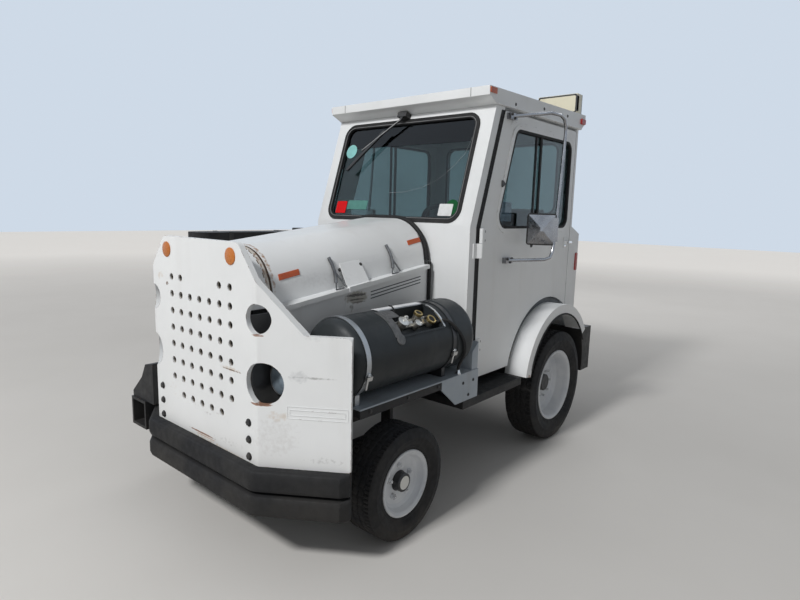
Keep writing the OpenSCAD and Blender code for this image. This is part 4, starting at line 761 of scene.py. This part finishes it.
def door_window(inset):
    """Outline (y, z) of a door's window."""
    lean = (WINDOW_TOP_Z - WINDOW_LOW_Z) * tan(RAKE)
    front, rear = DOOR_FRONT_Y + 0.15 + inset, DOOR_REAR_Y - 0.058 - inset
    low, top = WINDOW_LOW_Z + inset, WINDOW_TOP_Z - inset
    return rounded([(front, low, 0.07 - inset), (rear, low, 0.07 - inset),
                    (rear, top, 0.06 - inset), (front + lean, top, 0.06 - inset)])


def make_door(tag, side):
    body = f"door_{tag}"
    plane = side_plane(side)
    seal = Shape().frame(door_window(-0.002), door_window(0.014), 0.556, 0.5795, plane)
    # the meeting frames of the two panes
    for y, x in ((1.84, 0.566), (1.892, 0.572)):
        seal.slab(rect(y - 0.01, 1.362, y + 0.01, 1.893), x - 0.009, x + 0.001, plane)
    seal.piece(f"door_seal_{tag}", "black_rubber", body, bevel=0.0015)
    catch = rounded([(1.45, 1.575, 0.006), (1.49, 1.595, 0.006), (1.45, 1.62, 0.006)])
    Shape().slab(catch, 0.562, 0.584, plane, 0.003).piece(f"window_catch_{tag}", "black_plastic", body)
    corners = ((1.5, 1.895), (2.262, 1.895), (2.262, 1.931), (1.53, 1.931))
    header = rounded([(*corner, 0.012) for corner in corners])
    Shape().slab(header, 0.574, 0.5775, plane, 0.0008).piece(f"door_header_{tag}", "white_paint", body)
    bolts = Shape().rivets(
        0.006, 0.003, [side_plane(side, 0.5772, y, 1.914) for y in (1.617, 1.817, 2.021, 2.18)])
    bolts.bolts(0.007, 0.005, [side_plane(side, DOOR_SKIN_X, 1.304, z) for z in (1.343, 1.296, 0.754, 0.707)])
    bolts.bolts(0.009, 0.008, [side_plane(side, DOOR_SKIN_X, 1.829, 1.256)])
    bolts.piece(f"door_bolts_{tag}", "black_steel", body)
    # clamps that hold the mirror's tube on its feet
    places = [side_plane(side, 0.601, y + dy, z + dz) for y, z in ((1.5, 1.95), (1.53, 1.182))
              for dy, dz in ((-0.018, 0.009), (0.012, -0.009), (0.03, 0.009))]
    Shape().bolts(0.006, 0.007, places).piece(f"mirror_clamps_{tag}", "black_steel", body)
    # rubber band between the pillar and the door, from the sill to the roof
    line = [(1.257, 0.56), (1.257, BELT_Z), (1.257 + (1.974 - BELT_Z) * tan(RAKE), 1.974)]
    band = Shape().slab(line + [(y - 0.034, z) for y, z in reversed(line)], 0.5745, 0.577, plane)
    band.tube([plane @ Vector((y - 0.004, z, 0.577)) for y, z in line], 0.0035, 10)
    band.piece(f"pillar_band_{tag}", "black_rubber", bevel=0.0008)
    # mirror glass in a black rim on the head's rear face, whose outer edge is at (0.737, 1.797)
    turn = radians(31)
    half = 0.0785
    middle = at(side * (0.737 - half * cos(turn)), 1.797 - half * sin(turn), 1.355)
    back = Vector((-side * sin(turn), cos(turn), 0))
    head = facing(middle + 0.004 * back, back)
    Shape().slab(oblong(0.142, 0.159, 0.01), -0.001, 0.0015, head).piece(
        f"mirror_glass_{tag}", "bright_steel", body, MIRROR)
    Shape().frame(oblong(0.163, 0.18, 0.014), oblong(0.141, 0.158, 0.008), -0.014, 0.004, head).piece(
        f"mirror_rim_{tag}", "black_rubber", body, bevel=0.0015)
    lock = Shape().tube([at(side * 0.605, y, 1.262) for y in (2.325, 2.28)], 0.009, 16)
    lock.turned([(0, -0.002), (0.012, -0.002), (0.012, 0.001), (0.006, 0.0025), (0, 0.0025)],
                side_plane(side, 0.579, 2.293, 1.24), 24)
    lock.piece(f"door_lock_{tag}", "bright_steel", body, CHROME)


def make_doors():
    for tag, side in SIDES:
        make_door(tag, side)
    Shape().slab([(1.42, 1.4), (1.6, 1.395), (1.6, 1.5), (1.42, 1.508)], 0.5535, 0.5545, side_plane(1)).piece(
        "window_paper", "white_paint", "door_left", look=sticker("lilac_paper", (0.85, 0.8, 0.97)))


def screen_window(inset):
    return oblong(0.972 - 2 * inset, 0.58 - 2 * inset, 0.062 - inset, 0, 0.32, 6)


def make_screen():
    """What lies on the windscreen, in a frame on its outer plane with Y up its slope from the belt."""
    plane = facing(at(0, CAB_FRONT_Y, BELT_Z), (0, -cos(RAKE), sin(RAKE)), (0, sin(RAKE), cos(RAKE)))
    Shape().frame(screen_window(0.006), screen_window(0.0085), 0.006, 0.0085, plane).piece(
        "screen_bead", "bright_steel", look=surface("bead_grey", grey(0.25), grey(0.18), (0.3, 0.5), 12))
    shade = [(-0.474, 0.47), (0.474, 0.47)] + [p for p in screen_window(0.012) if p[1] > 0.5]
    Shape().slab(shade, -0.0085, -0.0078, plane).piece(
        "screen_shade", "window_glass", look=clear("shade_band", (0.03, 0.035, 0.05)))
    for name, x, y, w, h, r, top, colour in (
            ("round", -0.424, 0.455, 0.088, 0.088, 0.0439, -0.0068, (0.27, 0.58, 0.56)),
            ("red", -0.4, 0.095, 0.085, 0.075, 0.006, -0.0068, (0.7, 0.012, 0.015)),
            ("teal", -0.268, 0.11, 0.165, 0.056, 0.004, -0.0068, (0.1, 0.25, 0.22)),
            ("green", 0.428, 0.105, 0.08, 0.085, 0.038, -0.0068, (0.01, 0.09, 0.03)),
            ("white", 0.392, 0.09, 0.088, 0.066, 0.004, -0.0062, (0.75, 0.76, 0.76))):
        Shape().slab(oblong(w, h, r, x, y), -0.0075, top, plane).piece(
            f"screen_label_{name}", "white_paint", look=sticker(f"label_{name}", colour))
    # bright back of the wiper's arm
    arm = [plane @ Vector(p) for p in ((-0.024, 0.6175, 0.0382), (-0.29, 0.4375, 0.0382))]
    Shape().tube(arm, 0.0026, 10).piece(
        "wiper_arm", "bright_steel", look=surface("wiper_grey", grey(0.4), grey(0.28), (0.4, 0.5), 20))
    crack = [(0.47, 0.52), (0.44, 0.4), (0.38, 0.33), (0.3, 0.26), (0.2, 0.215), (0.08, 0.19), (-0.03, 0.185)]
    Shape().tube([plane @ Vector((*p, -0.0066)) for p in crack], 0.0007, 6).piece(
        "screen_crack", "window_glass", look=sticker("crack_line", (0.4, 0.42, 0.42)))


def make_roof():
    rivets = Shape()
    # folded seams of the visor's front edge
    for x in (-0.46, 0.465):
        rivets.slab(rect(-0.001, -0.022, 0.0015, 0.022), -0.001, 0.0012, on_front(x, 1.284, 2.051))
    rivets.rivets(0.009, 0.004, [on_side(side, 0.579, y, z) for side in (1, -1)
                                 for y, z in ((1.551, 2.02), (1.882, 2.045), (2.2, 2.05))])
    rivets.piece("roof_rivets", "black_steel")
    markers = Shape()
    for side in (1, -1):
        markers.slab(oblong(0.062, 0.034, 0.006), -0.001, 0.011, on_side(side, 0.5795, 2.43, 2.045), 0.003)
        markers.slab(oblong(0.03, 0.12, 0.006), -0.001, 0.006, on_side(side, 0.576, 2.487, 1.128), 0.002)
    markers.piece("side_reflectors", "lamp_plastic", look=RED_LENS)
    # rim round the roof lamp's lens
    Shape().frame(oblong(0.272, 0.118, 0.012), oblong(0.25, 0.098, 0.008), -0.03, 0.0012,
                  on_front(0.436, 2.34, 2.151)).piece("roof_lamp_rim", "black_plastic", bevel=0.002)


def make_lamps():
    ring = ((0.058, 0.07), (0.062, 0.066), (0.08, 0.068), (0.0815, 0.074), (0.078, 0.082), (0.062, 0.0925),
            (0.059, 0.09))
    lens = ((0, 0.06), (0.06, 0.06), (0.06, 0.09), (0.052, 0.0925), (0.04, 0.0945), (0.026, 0.096),
            (0.012, 0.0965), (0, 0.0966))
    for tag, side in SIDES:
        place = on_front(side * 0.416, 0.19, 0.765)
        Shape().turned(ring, place, 48).piece(f"headlamp_ring_{tag}", "black_plastic")
        Shape().turned(lens, place, 48).piece(f"headlamp_lens_{tag}", "window_glass", look=CLEAR_LENS)


def make_rear():
    for tag, side in SIDES:
        for part, w, h, r, up, low, high, slot, look in (
                ("box", 0.11, 0.19, 0.012, 0, -0.002, 0.028, "black_plastic", None),
                ("red", 0.092, 0.1, 0.01, 0.03, 0.026, 0.036, "lamp_plastic", RED_LENS),
                ("amber", 0.092, 0.05, 0.01, -0.055, 0.026, 0.036, "lamp_plastic", AMBER)):
            place = on_back(side * 0.5, TUB_REAR_Y, 0.79)
            Shape().slab(oblong(w, h, r, 0, up), low, high, place, 0.004).piece(
                f"tail_lamp_{part}_{tag}", slot, look=look)
    # blank number plate on two screws, a grab handle and the rear window's wiper
    Shape().slab(oblong(0.34, 0.12, 0.012), -0.001, 0.003, on_back(0, TUB_REAR_Y, 0.84), 0.001).piece(
        "blank_plate", "white_paint", look=sticker("plate_film", (0.7, 0.7, 0.67)))
    grip = ((-0.16, 2.512), (-0.16, 2.545), (-0.14, 2.56), (0, 2.562), (0.14, 2.56), (0.16, 2.545),
            (0.16, 2.512))
    path = fine_path([at(x, y, 1.1) for x, y in grip], 4)
    Shape().tube(path, 0.009, 12).piece("rear_handle", "black_steel")
    wiper = Shape()
    for rows, radius, n in (
            (((0, 0, 1.925), (0, 0.02, 1.925)), 0.011, 16),
            (((0, 0.016, 1.925), (-0.1, 0.018, 1.8), (-0.17, 0.014, 1.71)), 0.004, 8),
            (((-0.06, 0.006, 1.855), (-0.28, 0.006, 1.565)), 0.0065, 8)):
        wiper.tube([at(x, CAB_REAR_Y + out, z) for x, out, z in rows], radius, n)
    wiper.piece("rear_wiper", "black_plastic")
    bolts = Shape().bolts(
        0.013, 0.01, [on_back(x, 2.6555, z) for x in (-0.56, -0.3, 0.3, 0.56) for z in (0.42, 0.61)])
    bolts.rivets(0.005, 0.003, [on_back(x, 2.5185, 0.84) for x in (-0.15, 0.15)])
    bolts.piece("weight_bolts", "black_steel", bevel=0.0006)


# Decks

def arc_pad(shape, low, high, y0, y1, inner, outer, n=12):
    """Curved plate on the gas tank between two angles."""
    corners = ((y0, inner), (y1, inner), (y1, outer), (y0, outer))
    return shape.rings([skin_path((low + (high - low) * i / n, *corner) for corner in corners)
                        for i in range(n + 1)])


def make_tank():
    arc_pad(Shape(), -8, 6, 0.538, 0.842, 0.0045, 0.0065).piece("tank_guard", "bright_steel", look=surface(
        "guard_paint", (0.86, 0.87, 0.88), (0.74, 0.75, 0.76), (0.3, 0.45), 16, bump=0.05,
        spots=(grey(0.05), 0.02)), bevel=0.0006)
    bracket = arc_pad(Shape(), 8, 62, 0.505, 0.548, 0, 0.003)
    arc_pad(bracket, 8, 30, 0.52, 0.6, 0.0005, 0.004)
    bracket.turned([(0, -0.004), (0.024, -0.002), (0.024, 0.0035), (0.021, 0.0055), (0, 0.006)],
                   on_skin(66, 0.535))
    bracket.piece("tank_bracket", "grey_paint_dark", bevel=0.0006, look=surface(
        "hatched_plate", grey(0.13), grey(0.07), (0.4, 0.6), 60, metal=0.3, bump=0.8, grain=500))
    arc_pad(Shape(), 12, 62, 0.846, 0.857, -0.004, 0.004).piece("tank_strip", "bright_steel", bevel=0.001)
    arc_pad(Shape(), 61, 64, 0.55, 0.85, -0.002, 0.004).piece("tank_lip", "tank_paint", bevel=0.001)
    # heads of the valves: a handwheel, nuts, a gauge and two open ports
    heads, ports, mouths = Shape(), Shape(), Shape()
    wheel = on_skin(38, 0.613, -0.012)
    heads.turned([(0, 0.004), (0.006, 0.004), (0.006, 0.008), (0.017, 0.007), (0.02, 0.003), (0.026, 0.004),
                  (0.027, 0.009), (0.022, 0.012), (0.01, 0.013), (0, 0.013)], wheel, 16)
    heads.bolts(0.006, 0.005, [wheel @ Matrix.Translation((0, 0, 0.012))])
    for angle, y, out, r in ((24, 0.562, -0.022, 0.012), (28, 0.664, -0.018, 0.0096)):
        heads.bolts(r, 0.01, [on_skin(angle, y, out)], 1.25)
    heads.turned([(0, 0), (0.018, 0), (0.018, 0.01), (0.0155, 0.011), (0.0155, 0.008), (0, 0.008)],
                 on_skin(44, 0.709, -0.022))
    for angle, y, out, r in ((26, 0.754, -0.01, 0.019), (42, 0.812, -0.018, 0.022)):
        place = on_skin(angle, y, out)
        ports.turned([(r - 0.006, -0.008), (r + 0.002, -0.008), (r + 0.002, 0.004), (r - 0.001, 0.006),
                      (r - 0.005, 0.005), (r - 0.006, 0)], place)
        mouths.turned([(0, -0.006), (r - 0.0055, -0.006), (r - 0.0055, 0.003), (0.004, 0.004), (0, 0.004)],
                      place, 28)
    for y in (0.59, 0.69, 0.78):
        heads.turned([(0, -0.012), (0.013, -0.012), (0.013, 0.012), (0, 0.012)],
                     facing(on_skin(34, y, -0.044).translation, BACK), 6)
    heads.piece("valve_heads", "bright_steel", bevel=0.0006, look=surface(
        "cast_silver", (0.62, 0.61, 0.58), (0.35, 0.33, 0.3), (0.25, 0.45), 40, metal=0.85, bump=0.2))
    ports.piece("valve_ports", "brass_fittings", look=surface(
        "port_brass", (0.5, 0.38, 0.16), (0.3, 0.22, 0.1), (0.25, 0.4), 30, metal=0.9))
    mouths.piece("valve_mouths", "black_rubber")
    # rigid gas pipe: over the guard plate, down the opening's rear and along the tank to the deck
    pipe = Shape().tube(skin_path([(-9, 0.66, 0.0095), (0, 0.645, 0.0108), (9, 0.628, 0.006),
                                   (18, 0.606, -0.008), (27, 0.596, -0.03)]), 0.0035, 10)
    path = skin_path([(48, 0.83, -0.03), (50, 0.852, -0.004), (54, 0.872, 0.012), (62, 0.9, 0.0145),
                      (76, 0.94, 0.0145), (92, 0.972, 0.0145), (108, 0.992, 0.0145), (124, 1, 0.016),
                      (138, 1.003, 0.03)])
    x, y, _ = path[-1]
    pipe.tube(fine_path(path + [Vector((x, y, 0.649))], 5), 0.007, 14)
    pipe.piece("gas_pipe", "black_steel", look=SLOTS["black_rubber"])
    nuts = Shape().turned([(0, -0.001), (0.016, -0.001), (0.016, 0.006), (0.012, 0.01), (0.0095, 0.022),
                           (0, 0.022)], facing(Vector((x, y, 0.6505)), UP, BACK), 6)
    # tightening bolts of the straps
    for y in (0.323, 0.91):
        foot = on_skin(112, y, 0.012).translation
        top = foot + Vector((0.004, 0, 0.03))
        nuts.tube([top, foot - Vector((0.012, 0, 0.035))], 0.0045, 10)
        nuts.bolts(0.008, 0.007, [facing(top, (0.3, 0, 1), BACK)])
        arc_pad(nuts, 104, 110, y - 0.016, y + 0.016, 0.004, 0.017, 3)
    nuts.piece("tank_nuts", "bright_steel", bevel=0.0005)


def make_right_side():
    """Filler cap and straps of the tank beside the casing's right side."""
    cap = ((0, -0.001), (0.036, -0.001), (0.036, 0.003), (0.043, 0.004), (0.044, 0.015), (0.041, 0.018),
           (0.014, 0.019), (0, 0.019))
    Shape().turned(cap, on_top(-0.632, 1.06, 1.3005), 24).piece(
        "side_tank_cap", "black_plastic", bevel=0.0008)
    straps = Shape()
    outer, inner, half, thick = 0.7135, 0.5505, 0.014, 0.0012
    for y in (0.52, 0.94):
        for x in (outer, inner):
            straps.slab(rect(y - half, 0.66, y + half, 1.302), x - thick, x + thick, side_plane(-1))
        # only the rear strap crosses the tank's top
        if y > 0.9:
            straps.slab(rect(-outer - thick, y - half, -inner + thick, y + half), 1.3, 1.3026,
                        Matrix.Translation(at(0, 0, 0)))
        straps.bolts(0.008, 0.007, [on_side(-1, outer + thick, y, 0.76)])
    straps.piece("side_tank_straps", "black_steel")


def make_decks():
    """Ribbed rubber on the running boards, bolts on the decks and beads on the fenders."""
    for tag, side in SIDES:
        base = on_top(side * 0.62, 1.38, 0.502)
        mat = Shape().slab(oblong(0.078, 0.46, 0.008), -0.001, 0.003, base)
        for x in (-0.03 + 0.01 * i for i in range(7)):
            mat.slab(rect(x - 0.003, -0.22, x + 0.003, 0.22), 0.002, 0.0055, base, 0.001)
        mat.piece(f"board_mat_{tag}", "black_rubber")
        bolts = Shape().bolts(0.007, 0.005, [on_side(side, 0.664, y, 0.628) for y in (0.36, 0.6, 0.82)])
        bolts.bolts(0.006, 0.004, [on_side(side, 0.664, y, z)
                                   for y, z in ((1.03, 0.6), (1.12, 0.6), (1.08, 0.53))])
        bolts.piece(f"deck_bolts_{tag}", "black_steel")
        arc = [at(side * 0.6885, 2.09 - 0.386 * cos(a), 0.437 + 0.386 * sin(a))
               for a in (radians(14 + 140 * i / 32) for i in range(33))]
        Shape().tube(arc, 0.005, 10).piece(f"fender_edging_{tag}", "black_rubber")


# Inside of the cab

def cushion(name, place, w, d, h, channels, crown):
    """Crowned pad in a frame: w across, d along, h thick, with sewn channels across it."""
    n, m = 28, 36
    seam_depth, seam_width, rim_height = 0.007, 0.006, 0.45
    top, low = [], []
    for u in (2 * i / n - 1 for i in range(n + 1)):
        for v in (2 * k / m - 1 for k in range(m + 1)):
            pull = 1 - 0.035 * (u * u + v * v - 2 * abs(u * v) * 0.3)
            x, y = u * w / 2 * pull, v * d / 2 * pull
            edge = (1 - abs(u) ** 6) * (1 - abs(v) ** 6)
            seam = min(abs(v - c) for c in channels) * d / 2
            dip = seam_depth * exp(-(seam / seam_width) ** 2)
            swell = h + crown * (1 - u * u) * (1 - v * v) - dip
            top.append((x, y, swell * (rim_height + (1 - rim_height) * edge ** 0.5)))
            low.append((x * 0.97, y * 0.97, 0.004 * (1 - edge)))
    obj = Shape().skins(top, low, m + 1, place).piece(name, "black_vinyl", smooth=60)
    return obj


def make_interior():
    x, y, z = 0.25, 1.79, 0.9
    pad = cushion("seat_cushion", facing(at(x, y + 0.215, z + 0.045), (0, -0.09, 1), BACK),
                  0.43, 0.41, 0.075, (-0.5, 0, 0.5), 0.02)
    cushion("seat_backrest", facing(at(x, y + 0.425, z + 0.36), (0, -1, 0.17)),
            0.4, 0.44, 0.06, (-0.6, -0.2, 0.2, 0.6), 0.016)
    base = Shape().slab(oblong(0.4, 0.36, 0.03), 0, 0.05, on_top(x, y + 0.215, z))
    for dx in (-0.12, 0.12):
        base.tube([at(x + dx, y + dy, z + dz) for dy, dz in ((0.41, 0.02), (0.47, 0.3), (0.5, 0.5))], 0.012)
    base.piece("seat_base", "black_steel", bevel=0.003)
    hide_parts("seat")
    dials = Shape()
    rim = ((0, -0.002), (0.033, -0.002), (0.033, 0.006), (0.029, 0.008), (0.029, 0.004), (0, 0.004))
    for i in range(3):
        dials.turned(rim, facing(at(0.16 + 0.085 * i, 1.323, 1.29), (0, 1, 0.1)))
    dials.piece("dash_dials", "bright_steel", look=CHROME)
    levers = Shape()
    for x, y, h in ((0.02, 1.52, 0.5), (-0.05, 1.56, 0.34)):
        levers.tube([at(x, y, 0.62), at(x + 0.01, y + 0.02, 0.62 + h * 0.6),
                     at(x + 0.02, y + 0.06, 0.62 + h)], 0.008)
        levers.turned([(0, -0.02), (0.014, -0.016), (0.022, 0), (0.02, 0.014), (0.01, 0.024), (0, 0.026)],
                      on_top(x + 0.02, y + 0.06, 0.63 + h), 20)
    levers.piece("cab_levers", "black_plastic")


# Stage, light and camera

CAM_PLACE = (2.1638, -1.2426 - MID_Y, 1.4332)
CAM_YAW, CAM_PITCH, CAM_ROLL = (radians(a) for a in (40.2664, 8.8877, 1.4694))
CAM_LENS = 25.341


def make_camera():
    data = bpy.data.cameras.new("camera")
    data.sensor_width = 36
    data.lens = CAM_LENS
    cam = linked("camera", data)
    cam.matrix_world = Matrix.Translation(CAM_PLACE)
    for angle, axis in ((CAM_YAW, "Z"), (pi / 2 - CAM_PITCH, "X"), (CAM_ROLL, "Z")):
        cam.matrix_world @= Matrix.Rotation(angle, 4, axis)
    SCENE.camera = cam


def seen_directly(tree):
    """1 for camera, mirror and see-through rays."""
    path = add(tree, "ShaderNodeLightPath")
    both = calc("ADD", path.outputs["Is Camera Ray"], path.outputs["Is Glossy Ray"], clamp=True)
    return calc("ADD", both, path.outputs["Is Transmission Ray"], clamp=True)


def make_stage():
    half = 30
    mesh = bpy.data.meshes.new("floor")
    mesh.from_pydata([(*p, 0) for p in rect(-half, -half, half, half)], [], [(0, 1, 2, 3)])
    floor = linked("floor", mesh)
    made = surface("floor", (0.66, 0.64, 0.61), (0.62, 0.6, 0.57), (0.8, 0.9), 0.6, bump=0,
                   sockets={"Emission Color": (0.8, 0.77, 0.73, 1)})
    # the far floor keeps its paleness where the lamps don't reach
    tree = made.node_tree
    far = ramp(vector("LENGTH", object_coords(tree), result="Value"), 1.5, 16)
    glow = times(times(far, seen_directly(tree)), 0.62)
    tree.links.new(glow, tree.nodes["Principled BSDF"].inputs["Emission Strength"])
    floor.data.materials.append(made)
    world = bpy.data.worlds.new("world")
    world.use_nodes = True
    tree = world.node_tree
    back = tree.nodes["Background"]
    shown = seen_directly(tree)
    tree.links.new(blend(shown, (0.93, 0.96, 1), (0.62, 0.7, 0.8)), back.inputs["Color"])
    tree.links.new(between(shown, 0, 1, 0.24, 1), back.inputs["Strength"])
    SCENE.world = world
    SCENE.view_settings.view_transform = "Standard"


def make_lights():
    """Round lamps that look at a height on the tractor's middle."""
    for name, place, height, size, power in (
            ("key", (0.35, -7.7, 7.3), 0.8, 1.3, 650), ("fill", (6.5, -3.5, 3.5), 0.9, 5, 10),
            ("back", (-2, 7, 5), 1, 4, 90)):
        data = bpy.data.lights.new(name, "AREA")
        data.shape = "DISK"
        data.size = size
        data.energy = power
        lamp = linked(name, data)
        lamp.location = place
        lamp.rotation_euler = (Vector((0, 0, height)) - Vector(place)).to_track_quat("-Z", "Y").to_euler()


for make in (make_camera, make_stage, make_lights, dress_nodes, make_tyres, make_front, make_hood,
             make_doors, make_screen, make_roof, make_lamps, make_tank, make_decks, make_right_side,
             make_rear, make_interior):
    make()
